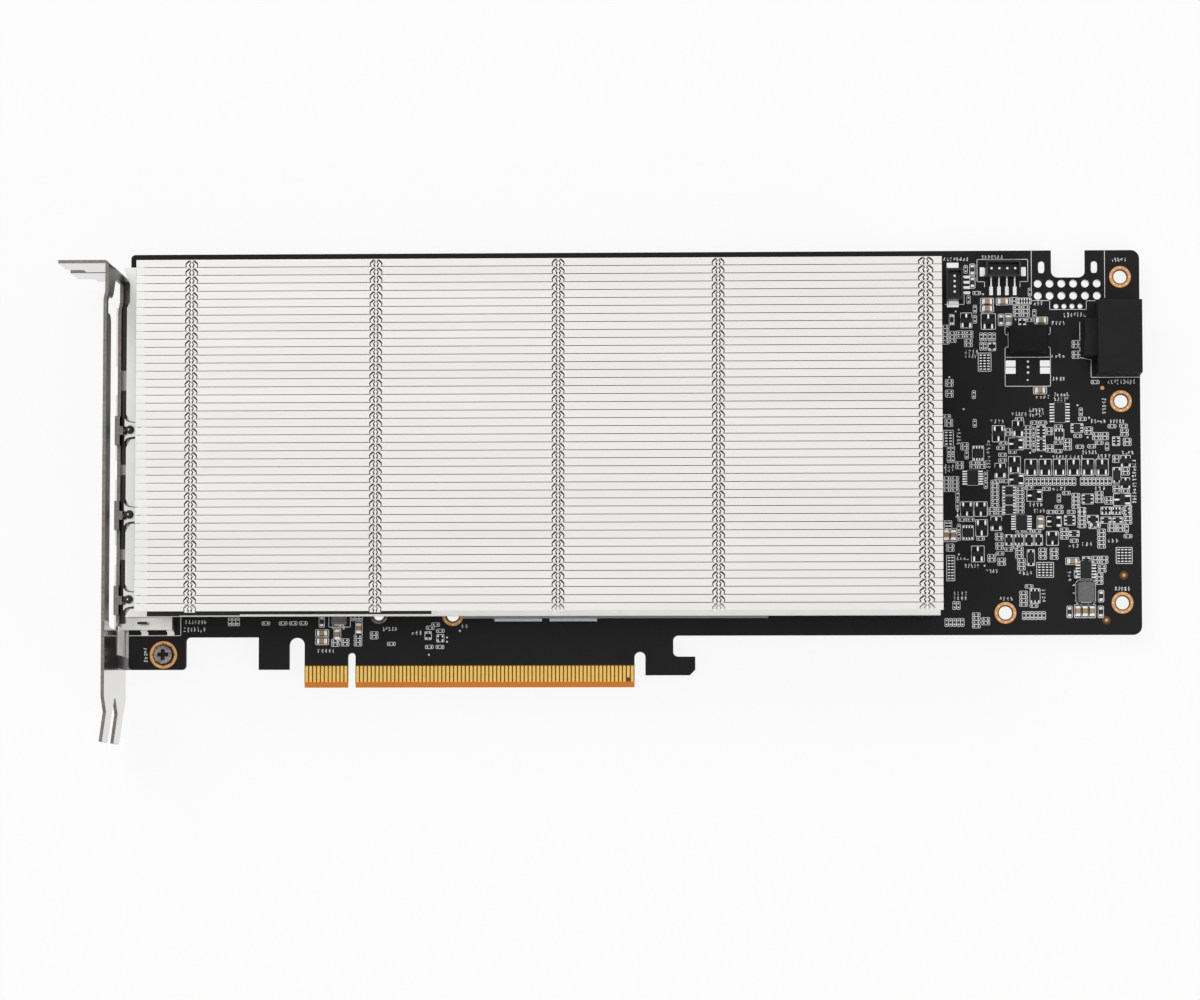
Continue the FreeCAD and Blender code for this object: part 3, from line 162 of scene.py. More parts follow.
def plate_stamp(name, wide, tall, corner=0.0, line=0.0):
    """A flat rounded plate facing up, or only its outline when a line width is given."""
    bm = bmesh.new()
    bmesh.ops.create_grid(bm, x_segments=1, y_segments=1, size=0.5)
    bmesh.ops.scale(bm, vec=(wide, tall, 1), verts=bm.verts)
    if corner:
        bmesh.ops.bevel(bm, geom=bm.verts[:], offset=corner, segments=3, profile=0.5,
                        affect="VERTICES", material=-1)
    if line:
        keep_rim(bm, line, even=True)
    return keep_mesh(bm, name)


def stamp(bm, mesh, x, y, z=0.0, turn=0.0, finish=0):
    """Add a copy of a stamp at a place, turned by degrees about the upright axis."""
    first = len(bm.verts)
    first_face = len(bm.faces)
    bm.from_mesh(mesh)
    bm.verts.ensure_lookup_table()
    bm.faces.ensure_lookup_table()
    where = Matrix.Translation((x, y, z)) @ Matrix.Rotation(math.radians(turn), 4, "Z")
    bmesh.ops.transform(bm, matrix=where, verts=bm.verts[first:])
    for face in bm.faces[first_face:]:
        face.material_index += finish


def stamp_beside(bm, mesh, x, y, z, turn, offset):
    """Add a stamp beside a centre, its offset turned with it."""
    spot = Matrix.Rotation(math.radians(turn), 3, "Z") @ Vector((*offset, 0))
    stamp(bm, mesh, x + spot.x, y + spot.y, z, turn)


def spread(count, pitch):
    """Distances of a row of equal steps from its middle."""
    return [(number - (count - 1) / 2) * pitch for number in range(count)]


# %% [markdown]
# ## Finishes
# Every finish is a shader with its own small irregularities: grain, mottling or streaks that are worked out
# from the object's own coordinates, so that they stay on the surface when the card is turned or moved.

# %% A finish with mottled colour and fine grain
def make_finish(name, color, roughness, metallic=0.0, specular=0.5, mottle=0.06, mottle_size=3.0,
                grain=0.0, grain_size=0.2, stretch=(1, 1, 1), coat=0.0):
    """mottle_size and grain_size are in millimetres; stretch draws both out along an axis."""
    material = bpy.data.materials.new(name)
    material.use_nodes = True
    nodes, links = material.node_tree.nodes, material.node_tree.links
    shader = nodes["Principled BSDF"]
    shader.inputs["Metallic"].default_value = metallic
    shader.inputs["Specular IOR Level"].default_value = specular
    shader.inputs["Coat Weight"].default_value = coat
    place = nodes.new("ShaderNodeTexCoord")
    mapping = nodes.new("ShaderNodeMapping")
    mapping.inputs["Scale"].default_value = [1.0 / s for s in stretch]
    links.new(place.outputs["Object"], mapping.inputs["Vector"])

    cloud = nodes.new("ShaderNodeTexNoise")
    cloud.inputs["Scale"].default_value = 1.0 / (mottle_size * MM)
    cloud.inputs["Detail"].default_value = 3.0
    links.new(mapping.outputs["Vector"], cloud.inputs["Vector"])
    tone = nodes.new("ShaderNodeValToRGB")
    tone.color_ramp.elements[0].position = 0.25
    tone.color_ramp.elements[1].position = 0.75
    tone.color_ramp.elements[0].color = [c * (1 - mottle) for c in color] + [1]
    tone.color_ramp.elements[1].color = [min(1.0, c * (1 + mottle)) for c in color] + [1]
    links.new(cloud.outputs["Fac"], tone.inputs["Fac"])
    links.new(tone.outputs["Color"], shader.inputs["Base Color"])

    uneven = nodes.new("ShaderNodeMapRange")
    uneven.inputs["To Min"].default_value = roughness * 0.9
    uneven.inputs["To Max"].default_value = min(1.0, roughness * 1.1)
    links.new(cloud.outputs["Fac"], uneven.inputs["Value"])
    links.new(uneven.outputs["Result"], shader.inputs["Roughness"])
    if grain:
        fine = nodes.new("ShaderNodeTexNoise")
        fine.inputs["Scale"].default_value = 1.0 / (grain_size * MM)
        fine.inputs["Detail"].default_value = 2.0
        links.new(mapping.outputs["Vector"], fine.inputs["Vector"])
        bump = nodes.new("ShaderNodeBump")
        bump.inputs["Strength"].default_value = grain
        bump.inputs["Distance"].default_value = 0.02 * MM
        links.new(fine.outputs["Fac"], bump.inputs["Height"])
        links.new(bump.outputs["Normal"], shader.inputs["Normal"])
    return material


# %% Metals
fin_metal = make_finish("rolled_aluminium", (0.79, 0.78, 0.75), 0.34, metallic=1.0, mottle=0.02,
                        mottle_size=5, grain=0.25, grain_size=0.15, stretch=(30, 1, 1))
# Rolled sheet seen at a low angle mirrors less than a polished one: the tint of the edge says how much.
fin_metal.node_tree.nodes["Principled BSDF"].inputs["Specular Tint"].default_value = (0.25, 0.25, 0.245, 1)
sheet_metal = make_finish("satin_aluminium_sheet", (0.78, 0.78, 0.75), 0.45, metallic=1.0,
                          mottle=0.02, mottle_size=8, grain=0.15)
# Painted shade: the inside faces between fins and their undersides take this darker finish.
shaded_fin_metal = make_finish("shaded_aluminium", (0.3, 0.3, 0.29), 0.5, metallic=1.0, mottle=0.04,
                              mottle_size=5, grain=0.2)
# Painted light: a pale finish for the strip of the front fin's lower flange that catches the light.
lit_lip_paint = make_finish("painted_light_lip", (0.95, 0.95, 0.94), 0.6, metallic=0.3, mottle=0.03,
                        mottle_size=4)
channel_shadow = make_finish("channel_shadow", (0.02, 0.02, 0.02), 0.6, metallic=0.5, mottle=0.1)
# Partly the rough sheared edge, partly a painted dark reflection on the bracket's cut edges.
rough_edge_and_dark_reflection = make_finish("punched_edge_and_painted_reflection", (0.2, 0.18, 0.165), 0.42, metallic=1.0, mottle=0.25,
                        mottle_size=0.8, grain=0.5, grain_size=0.25)
# Painted dark reflection: the inner wall of the bracket mirrors the shaded board.
painted_dark_wall = make_finish("painted_dark_reflection_wall", (0.045, 0.042, 0.04), 0.3, metallic=1.0, mottle=0.4,
                           mottle_size=1.5, grain=0.3)
# Painted shade in the cross recess of the bracket screws.
recess_shade = make_finish("recess_shadow", (0.012, 0.01, 0.009), 0.5, metallic=0.6, mottle=0.3,
                           mottle_size=0.5)
nickel = make_finish("bright_nickel", (0.6, 0.59, 0.57), 0.13, metallic=1.0, mottle=0.05,
                     mottle_size=6, grain=0.05, grain_size=0.6)
shell_metal = make_finish("shell_nickel", (0.72, 0.71, 0.68), 0.25, metallic=1.0, mottle=0.05,
                          mottle_size=3, grain=0.1)
screw_metal = make_finish("screw_nickel", (0.21, 0.197, 0.185), 0.14, metallic=1.0, mottle=0.6,
                          mottle_size=0.7, grain=0.1)
tin = make_finish("reflowed_tin", (0.86, 0.86, 0.85), 0.3, metallic=1.0, mottle=0.06,
                  mottle_size=0.6, grain=0.3, grain_size=0.2)
gold = make_finish("hard_gold", (0.82, 0.53, 0.14), 0.34, metallic=1.0, mottle=0.06,
                   mottle_size=1.5, grain=0.1)
copper_ring = make_finish("ring_plating", (0.67, 0.34, 0.13), 0.36, metallic=1.0, mottle=0.22,
                          mottle_size=1.2, grain=0.15)
bare_laminate = make_finish("bare_laminate", (0.12, 0.05, 0.015), 0.5, specular=0.3, mottle=0.2,
                            mottle_size=0.5)
# Darker than nickel: painted shade for the cold plate that lies under the fins.
shaded_plate_metal = make_finish("nickel_copper_painted_shade", (0.3, 0.3, 0.31), 0.35, metallic=1.0, mottle=0.06,
                          mottle_size=6, grain=0.1)
pipe_metal = make_finish("pipe_nickel", (0.55, 0.54, 0.52), 0.3, metallic=1.0, mottle=0.06,
                         mottle_size=5, grain=0.1)
spring_metal = make_finish("spring_steel", (0.42, 0.42, 0.42), 0.35, metallic=1.0, mottle=0.08,
                           mottle_size=4, grain=0.15)

# %% Mouldings, ceramics and films
ink = make_finish("board_ink", (0.95, 0.96, 0.96), 0.7, specular=0.2, mottle=0.06, mottle_size=0.5)
header_black = make_finish("header_moulding", (0.012, 0.012, 0.013), 0.35, specular=0.4, mottle=0.1,
                           grain=0.2)
socket_grey = make_finish("socket_moulding", (0.014, 0.014, 0.0145), 0.5, specular=0.12, mottle=0.12,
                          mottle_size=5, grain=0.25, grain_size=0.12)
chip_epoxy = make_finish("chip_epoxy", (0.012, 0.012, 0.012), 0.5, specular=0.25, mottle=0.1,
                         grain=0.3, grain_size=0.1)
powder_dark = make_finish("pressed_powder_dark", (0.009, 0.009, 0.0095), 0.6, specular=0.1,
                          mottle=0.2, mottle_size=1, grain=0.4, grain_size=0.12)
powder_grey = make_finish("pressed_powder_grey", (0.15, 0.15, 0.145), 0.6, specular=0.3,
                          mottle=0.25, mottle_size=0.6, grain=0.5, grain_size=0.15)
ceramic_tan = make_finish("fired_ceramic", (0.42, 0.27, 0.14), 0.5, mottle=0.15, mottle_size=0.5,
                          grain=0.2)
resistor_black = make_finish("resistor_glaze", (0.015, 0.015, 0.015), 0.3, specular=0.4, mottle=0.1)
package_green = make_finish("package_laminate", (0.02, 0.09, 0.04), 0.4, mottle=0.1)
silicon = make_finish("polished_silicon", (0.05, 0.05, 0.06), 0.12, mottle=0.1, mottle_size=6)
pad_grey = make_finish("thermal_pad", (0.6, 0.62, 0.63), 0.9, specular=0.2, mottle=0.15,
                       mottle_size=1, grain=0.5, grain_size=0.3)
# Painted highlight: a pale plate that stands for the bright light on the bracket's foot tab.
painted_highlight_plate = make_finish("painted_highlight_on_tab", (0.9, 0.9, 0.9), 0.5, metallic=0.2, mottle=0.04, mottle_size=3)
film_black = make_finish("insulating_film", (0.02, 0.02, 0.02), 0.35, mottle=0.1)
print(len(bpy.data.materials), "finishes")

# %% [markdown]
# ## Circuit board
# A circuit board is glass-fibre laminate under a thin coat of solder mask. Copper tracks lie below the mask
# and lift it by a few hundredths of a millimetre, so a satin black board still shows faint bundles of
# diagonal lines. Along the foot of the edge connector the mask stops and the bevel shows bare laminate.
# One shader does all three: a wave for the tracks, and the object's height along Y for the bare foot.

# %% Nodes that combine two values, and that switch at an edge
def combine(owner, operation, first, second):
    """The result of a Math node in a material or world: MULTIPLY for both, MAXIMUM for either."""
    both = owner.node_tree.nodes.new("ShaderNodeMath")
    both.operation = operation
    for socket, source in zip(both.inputs, (first, second)):
        owner.node_tree.links.new(source, socket)
    return both.outputs["Value"]


def switch(material, value, off, on):
    """0 where a coordinate is at off, 1 where it is at on; both in millimetres."""
    step = material.node_tree.nodes.new("ShaderNodeMapRange")
    step.inputs["From Min"].default_value = off * MM
    step.inputs["From Max"].default_value = on * MM
    material.node_tree.links.new(value, step.inputs["Value"])
    return step.outputs["Result"]


# %% Solder mask with tracks, and the bare connector foot
BARE_TOP, BARE_LEFT, BARE_RIGHT = 5.7, -12.7, 72.6
FADE = 0.1
BEVEL_TOP, BEVEL_FADE = 1.3, 0.4


def make_board_finish():
    """Mask over faint tracks, and bare laminate along the foot of the edge connector."""
    material = make_finish("solder_mask", (0.0135, 0.0135, 0.0135), 0.38, specular=0.12, mottle=0.1,
                           mottle_size=12)
    nodes, links = material.node_tree.nodes, material.node_tree.links
    shader = nodes["Principled BSDF"]
    mask_color = shader.inputs["Base Color"].links[0].from_socket
    place = nodes.new("ShaderNodeTexCoord")

    turned = nodes.new("ShaderNodeMapping")
    turned.inputs["Rotation"].default_value = (0, 0, math.radians(42))
    links.new(place.outputs["Object"], turned.inputs["Vector"])
    tracks = nodes.new("ShaderNodeTexWave")
    tracks.inputs["Scale"].default_value = 1 / (2.2 * MM)
    tracks.inputs["Distortion"].default_value = 0.0
    links.new(turned.outputs["Vector"], tracks.inputs["Vector"])
    regions = nodes.new("ShaderNodeTexNoise")
    regions.inputs["Scale"].default_value = 1 / (14 * MM)
    links.new(place.outputs["Object"], regions.inputs["Vector"])
    only = nodes.new("ShaderNodeMapRange")
    only.inputs["From Min"].default_value = 0.5
    only.inputs["From Max"].default_value = 0.6
    links.new(regions.outputs["Fac"], only.inputs["Value"])
    height = combine(material, "MULTIPLY", tracks.outputs["Fac"], only.outputs["Result"])
    bump = nodes.new("ShaderNodeBump")
    bump.inputs["Strength"].default_value = 0.35
    bump.inputs["Distance"].default_value = 0.03 * MM
    links.new(height, bump.inputs["Height"])
    links.new(bump.outputs["Normal"], shader.inputs["Normal"])

    parts = nodes.new("ShaderNodeSeparateXYZ")
    links.new(place.outputs["Object"], parts.inputs["Vector"])
    foot = switch(material, parts.outputs["Y"], BARE_TOP, BARE_TOP - FADE)
    right = switch(material, parts.outputs["X"], BARE_RIGHT, BARE_RIGHT - FADE)
    left = switch(material, parts.outputs["X"], BARE_LEFT, BARE_LEFT + FADE)
    bare = combine(material, "MULTIPLY", combine(material, "MULTIPLY", foot, right), left)
    depth = switch(material, parts.outputs["Y"], BEVEL_TOP, BEVEL_TOP + BEVEL_FADE)
    laminate = nodes.new("ShaderNodeMixRGB")
    laminate.inputs["Color1"].default_value = (0.74, 0.235, 0.035, 1)
    laminate.inputs["Color2"].default_value = (0.16, 0.075, 0.018, 1)
    links.new(depth, laminate.inputs["Fac"])
    both = nodes.new("ShaderNodeMixRGB")
    links.new(bare, both.inputs["Fac"])
    links.new(mask_color, both.inputs["Color1"])
    links.new(laminate.outputs["Color"], both.inputs["Color2"])
    links.new(both.outputs["Color"], shader.inputs["Base Color"])
    return material


board_finish = make_board_finish()
print(board_finish.name, "has", len(board_finish.node_tree.nodes), "nodes")

# %% [markdown]
# Some solids are already as fine as the eye can see, or stand where only a glimpse of them shows. They keep
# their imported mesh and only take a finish.

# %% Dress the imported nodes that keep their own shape
def dress(finish, *nodes):
    """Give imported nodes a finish, and leave their mesh as it is."""
    for name in nodes:
        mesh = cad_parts[name].data
        mesh.materials.clear()
        mesh.materials.append(finish)
    print("%-22s on %d nodes" % (finish.name, len(nodes)))


dress(board_finish, "circuit_board")
dress(gold, "edge_contacts_back")
dress(sheet_metal, "fin_carrier")
dress(shaded_plate_metal, "cold_plate", "cold_plate_standoffs")
dress(pipe_metal, *["heat_pipe_%d" % number for number in range(1, 6)])
dress(package_green, "package_substrate")
dress(nickel, "package_stiffener")
dress(silicon, "processor_die")
dress(chip_epoxy, *["memory_chip_%d" % number for number in range(1, 13)])
dress(pad_grey, "memory_pads", "choke_pads")
dress(powder_grey, "power_chokes")
dress(chip_epoxy, "power_switches", "bulk_capacitors")
dress(film_black, "brace_insulator")
dress(shell_metal, *["display_shell_%d" % number for number in range(1, 5)])
dress(header_black, *["display_insulator_%d" % number for number in range(1, 5)])
dress(gold, "socket_pins")
dress(tin, "header_pins")

# %% [markdown]
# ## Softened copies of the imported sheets
# Folded sheet and moulded housings never have knife edges: the light catches a narrow round on each. A copy
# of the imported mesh, with its loose triangles merged back into flat faces, takes a small bevel modifier.

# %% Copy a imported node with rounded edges
def merged_copy(node):
    """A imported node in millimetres, its loose triangles merged back into flat faces."""
    bm = bmesh.new()
    bm.from_mesh(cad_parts[node].data)
    bmesh.ops.remove_doubles(bm, verts=bm.verts, dist=WELD)
    bmesh.ops.dissolve_limit(bm, angle_limit=math.radians(1), verts=bm.verts, edges=bm.edges)
    bmesh.ops.scale(bm, vec=(1 / MM, 1 / MM, 1 / MM), verts=bm.verts)
    return bm


def soften(node, finish, width, splits=(), sort_face=None, more=()):
    """sort_face names the finish of a face by its place; splits cuts the copy at heights along Y first."""
    bm = merged_copy(node)
    for height in splits:
        bmesh.ops.bisect_plane(bm, geom=bm.verts[:] + bm.edges[:] + bm.faces[:], dist=0.001,
                               plane_co=(0, height, 0), plane_no=(0, 1, 0))
    for face in bm.faces:
        face.material_index = sort_face(face) if sort_face else 0
    piece = make_piece(bm, node + "_finished", [finish, *more], replaces=[node], outward=False)
    rounding = piece.modifiers.new("edge_round", "BEVEL")
    rounding.width = width * MM
    rounding.segments = 2
    rounding.limit_method = "ANGLE"
    rounding.angle_limit = math.radians(35)
    rounding.harden_normals = True
    rounding.use_clamp_overlap = True


def face_spans(face):
    """How far a face reaches along each axis, in the units of its bmesh."""
    corners = [vert.co for vert in face.verts]
    return [max(c[axis] for c in corners) - min(c[axis] for c in corners) for axis in range(3)]


# %% [markdown]
# The bracket is punched from plated strip. The rolled faces are bright, but a punch shears the strip and
# leaves its edges rough and darker, and that darker colour also holds a painted dark reflection. Round the
# window the inner side is painted dark, a painted reflection of the shaded board it faces. A cut edge is a
# long narrow face, so twice its area over its outline is near the strip's thickness.

# %% Bracket, socket and brace
BRACKET_STRIP = 0.86
DARK_WALL_FOOT = 15.6
NARROWEST, WIDEST, WIDEST_LEVEL = 0.6, 0.9, 1.25
SQUARE_ON = 0.9


def sort_bracket_face(face):
    """0 for the plated sheet, 1 for a cut edge, 2 for the inner wall painted dark."""
    narrow = 2 * face.calc_area() / face.calc_perimeter()
    level = abs(face.normal.z) > SQUARE_ON
    if NARROWEST < narrow < (WIDEST_LEVEL if level else WIDEST):
        return 1
    if any(abs(span - BRACKET_STRIP) < 0.03 for span in face_spans(face)):
        return 1
    if face.normal.x > SQUARE_ON and face.calc_center_median().y > DARK_WALL_FOOT:
        return 2
    return 0


soften("io_bracket", nickel, 0.16, splits=[DARK_WALL_FOOT],
       sort_face=sort_bracket_face, more=[rough_edge_and_dark_reflection, painted_dark_wall])
soften("power_socket", socket_grey, 0.15)
soften("rear_brace", spring_metal, 0.12)

# %% [markdown]
# Between the bracket and the stack, black strips over each display shell are painted shade, for the shade
# that fills the gap above the shells. Beside the board a thin plate at the foot of the bracket carries
# painted shade below and a painted highlight above, for the light and shade on the bracket's foot tab. Beside
# each spring finger a flared spring plate reaches over the carrier's edge, held by a small black rivet with a
# painted highlight dot on its top. A plate is one flat outline, thickened, with a wider black one under it
# whose rim is a painted shadow line round the plate.

# %% Painted shade strips over the shells, and spring plates with rivets
GAP_LEFT, GAP_RIGHT = -58.34, -57.1
SHADE_STRIP_HIGH, SHADE_STRIP_CLEAR = 1.2, 0.4
PLATE_CENTRES = (22.1, 43.7, 65.3)
PLATE_X, GLINT_X = -55.95, -56.2
PLATE_OVER, PLATE_THICK = 0.25, 0.1
TAB_PAINT_FOOT, TAB_PAINT_SPLIT, TAB_PAINT_TOP = 4.6, 7.9, 15.2
FLARE = ((-57.3, 2.9), (-56.9, 2.3), (-56.2, 1.95), (-55.2, 1.8), (-53.9, 1.75))


def add_flare(bm, centre, grow, low, high, finish):
    """The flared plate, mirrored about its middle; grow widens it on the long sides."""
    upper = [(x, centre + y + grow) for x, y in FLARE]
    lower = [(x, centre - y - grow) for x, y in reversed(FLARE)]
    face = bm.faces.new([bm.verts.new((x, y, low)) for x, y in upper + lower])
    face.material_index = finish
    thicken(bm, [face], high - low)


bm = bmesh.new()
# Black strips over the shells are painted shade in the gap between bracket and carrier.
for number in range(1, 5):
    low, high = box_mm("display_shell_%d" % number)
    start = max(low.y, DARK_WALL_FOOT + SHADE_STRIP_CLEAR)
    add_box(bm, (GAP_LEFT, start, high.z), (GAP_RIGHT, high.y, high.z + SHADE_STRIP_HIGH), bevel=0.15)
carrier_top = box_mm("fin_carrier")[1].z
plate = carrier_top + PLATE_OVER
for centre in PLATE_CENTRES:
    # A wider black plate under each bright one; its rim shows as a painted shadow line.
    add_flare(bm, centre, 0.22, plate - 0.05, plate, 0)
    add_flare(bm, centre, 0.0, plate, plate + PLATE_THICK, 1)
    # A black rivet, with a small bright disc on it as a painted highlight.
    add_rod(bm, 1.1, plate, plate + 0.7, (PLATE_X, centre), sides=28, bevel=0.3)
    add_rod(bm, 0.2, plate + 0.65, plate + 0.75, (GLINT_X, centre), sides=12, finish=1)
# A thin plate at the foot of the bracket: painted shade below, a painted highlight above.
for low_y, high_y, finish in ((TAB_PAINT_FOOT, TAB_PAINT_SPLIT, 0), (TAB_PAINT_SPLIT, TAB_PAINT_TOP, 2)):
    add_box(bm, (GAP_LEFT, low_y, -1.4), (GAP_LEFT + 0.14, high_y, 11.0), finish=finish)
make_piece(bm, "gap_seals", [header_black, sheet_metal, painted_highlight_plate])

# %% [markdown]
# ## Fin stack
# Each fin is one long strip of thin aluminium. Its top and bottom edges are folded over to make flanges, and
# the flange of one fin rests against the fold of the next, so that the stack shows a lid of narrow strips
# with fine gaps. At five columns a small tongue of each flange is hooked into a slot of its neighbour's
# fold, like links of a chain. The flange is drawn as flat outlines with those slots between them, thickened
# to the sheet, rounded along the fold, and one finished fin is then copied along the card. The inside faces
# between two fins and the undersides are darkened as painted shade. The front fin stands open: near the
# bracket the floor of its channel is painted in deep shade, and a pale strip of painted light stands for the
# lip of its lower flange that catches the light, wider further along, until it covers the whole flange.

# %% Find the separate solids of a imported node
def solids_of(node):
    """Lowest and highest corner of every loose solid in a node, in millimetres."""
    bm = bmesh.new()
    bm.from_mesh(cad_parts[node].data)
    bmesh.ops.remove_doubles(bm, verts=bm.verts, dist=WELD)
    waiting = set(bm.verts)
    boxes = []
    while waiting:
        reached = [waiting.pop()]
        for vert in reached:
            for edge in vert.link_edges:
                other = edge.other_vert(vert)
                if other in waiting:
                    waiting.remove(other)
                    reached.append(other)
        low = Vector([min(v.co[axis] for v in reached) / MM for axis in range(3)])
        high = Vector([max(v.co[axis] for v in reached) / MM for axis in range(3)])
        boxes.append((low, high))
    bm.free()
    return sorted(boxes, key=lambda corners: (round(corners[0].x, 2), round(corners[0].y, 2)))


fins = solids_of("fin_stack")
fin_low, fin_high = fins[0]
fin_deep = fin_high.y - fin_low.y
SHEET = 0.3
LOCK_COLUMNS = (-37.4, 8.75, 54.2, 94.0, 145.5)
print(len(fins), "fins,", round(fin_high.x - fin_low.x, 1), "mm long")

# %% Outlines of the lock, as distances from its column and from the fold
LID_FOOT = fin_deep - 0.05
TUCK = fin_deep + 0.28
NOTCH_EDGE = ((0.38, 0.14), (0.78, 0.14), (1.5, 0.86), (1.62, 1.3), (1.44, LID_FOOT))
WING_OUTER = ((0.52, 0.46), (1.27, 1.1), (1.42, 1.32), (1.22, 1.74), (1.34, 1.86), (1.34, TUCK))
WING_INNER = ((0.44, TUCK), (0.54, 1.84), (0.54, 1.58), (0.74, 1.26), (0.34, 0.74))
VASE_EDGE = ((0.4, 0.1), (0.36, 0.36), (0.08, 0.7), (0.48, 1.28), (0.2, 1.56), (0.2, 1.84), (0.36, TUCK))
LAST_WIDER = 1.2
TOP_ROUND, FOLD_ROUND = 0.05, 0.18


def add_sheet_outline(bm, outline):
    """A flat outline at the top of the fin, thickened downward to the sheet."""
    face = bm.faces.new([bm.verts.new((x, fin_deep - deep, fin_high.z)) for x, deep in outline])
    face.normal_update()
    if face.normal.z < 0:
        face.normal_flip()
    thicken(bm, [face], -SHEET)


# %% Make one fin
def lies_past(edge, axis, level):
    """Whether both ends of an edge lie beyond a level along an axis."""
    return all(getattr(vert.co, axis) > level for vert in edge.verts)


def make_fin_stamp():
    """Finish 0 is the lid and the outer side, finish 1 the inside between two fins and the undersides,
    darkened as painted shade.
    """
    bm = bmesh.new()
    last = len(LOCK_COLUMNS) - 1
    lid = [(fin_low.x, LID_FOOT), (fin_low.x, 0.0), (fin_high.x, 0.0), (fin_high.x, LID_FOOT)]
    for number, column in reversed(list(enumerate(LOCK_COLUMNS))):
        wide = LAST_WIDER if number == last else 1.0
        lid += [(column + wide * u, deep) for u, deep in reversed(NOTCH_EDGE)]
        lid += [(column - wide * u, deep) for u, deep in NOTCH_EDGE]
        for side in (-1, 1):
            add_sheet_outline(bm, [(column + side * wide * u, deep) for u, deep in WING_OUTER + WING_INNER])
        vase = [(column + wide * u, deep) for u, deep in VASE_EDGE]
        vase += [(column - wide * u, deep) for u, deep in reversed(VASE_EDGE)]
        add_sheet_outline(bm, vase)
    add_sheet_outline(bm, lid)

    top = [edge for edge in bm.edges if lies_past(edge, "z", fin_high.z - NEAR)]
    rest = [edge for edge in top if not lies_past(edge, "y", fin_deep - NEAR)]
    bmesh.ops.bevel(bm, geom=rest, offset=TOP_ROUND, segments=1, profile=0.5, affect="EDGES",
                    material=-1, clamp_overlap=True)
    fold = [edge for edge in bm.edges
            if lies_past(edge, "y", fin_deep - NEAR) and lies_past(edge, "z", fin_high.z - TOP_ROUND - 0.01)
            and abs(edge.verts[0].co.x - edge.verts[1].co.x) > 1]
    bmesh.ops.bevel(bm, geom=fold, offset=FOLD_ROUND, segments=3, profile=0.5, affect="EDGES",
                    material=-1, clamp_overlap=True)
    wall = add_box(bm, (fin_low.x, fin_deep - SHEET, fin_low.z),
                   (fin_high.x, fin_deep, fin_high.z - SHEET))
    foot = add_box(bm, (fin_low.x, 0, fin_low.z), (fin_high.x, fin_deep - SHEET, fin_low.z + SHEET))
    bmesh.ops.recalc_face_normals(bm, faces=bm.faces)
    for face in bm.faces:
        inside = (face in wall and (face.normal.y < -0.5 or face.normal.z > 0.5)
                  or face in foot and face.normal.z > 0.5)
        face.material_index = 1 if inside or face.normal.z < -0.9 else 0
    return keep_mesh(bm, "one_fin")


one_fin = make_fin_stamp()
print("one fin:", len(one_fin.polygons), "faces")

# %% Copy the fin along the card
# Where along the card the painted light on the lip of the front fin begins, grows wider, and covers the whole
# flange.
THIN_LIP, WIDER_LIP, FULL_LIP = -43.0, -27.6, 21.0
LIP_THICK = 0.04
bm = bmesh.new()
for low, high in fins:
    stamp(bm, one_fin, 0, low.y)
front = fins[0][0].y
# On the front fin the upward inside faces take the painted deep shade, the other inside faces the plain fin
# metal.
for face in bm.faces:
    if face.material_index == 1 and face.calc_center_median().y < front + fin_deep:
        face.material_index = 2 if face.normal.z > 0.5 else 0
floor_of_fin = fin_low.z + SHEET
# Pale strips on the front fin's floor are painted light, where its lip catches the light.
for start, end, deep in ((THIN_LIP, WIDER_LIP, 0.16), (WIDER_LIP, FULL_LIP, 0.42),
                         (FULL_LIP, fin_high.x, fin_deep - SHEET)):
    add_box(bm, (start, front, floor_of_fin), (end, front + deep, floor_of_fin + LIP_THICK), finish=3)
make_piece(bm, "folded_fins", [fin_metal, shaded_fin_metal, channel_shadow, lit_lip_paint],
           replaces=["fin_stack"], outward=False)

# %% [markdown]
# ## Edge connector
# The contacts are copper plated with nickel and hard gold. Each is a long pad with rounded ends, so that it
# wipes smoothly into the slot. One rounded slab is stamped at every packed contact's place.

# %% Slabs, rings and dots to stamp
def slab_stamp(name, wide, tall, high, corner=0.0, edge=0.0):
    """A rounded slab that stands on zero."""
    bm = bmesh.new()
    bmesh.ops.create_grid(bm, x_segments=1, y_segments=1, size=0.5)
    bmesh.ops.scale(bm, vec=(wide, tall, 1), verts=bm.verts)
    if corner:
        bmesh.ops.bevel(bm, geom=bm.verts[:], offset=corner, segments=2, profile=0.5,
                        affect="VERTICES", material=-1)
    thicken(bm, bm.faces[:], high)
    if edge:
        rim = [e for e in bm.edges if all(v.co.z > high - NEAR for v in e.verts)]
        bmesh.ops.bevel(bm, geom=rim, offset=edge, segments=1, profile=0.5, affect="EDGES",
                        material=-1)
    bmesh.ops.recalc_face_normals(bm, faces=bm.faces)
    return keep_mesh(bm, name)


def ring_stamp(name, inner, outer, sides=20):
    """A flat ring facing up."""
    bm = bmesh.new()
    bmesh.ops.create_circle(bm, cap_ends=True, segments=sides, radius=outer)
    keep_rim(bm, outer - inner, even=False)
    return keep_mesh(bm, name)


def dot_stamp(name, radius, sides=10):
    """A flat round dot facing up."""
    bm = bmesh.new()
    bmesh.ops.create_circle(bm, cap_ends=True, segments=sides, radius=radius)
    return keep_mesh(bm, name)


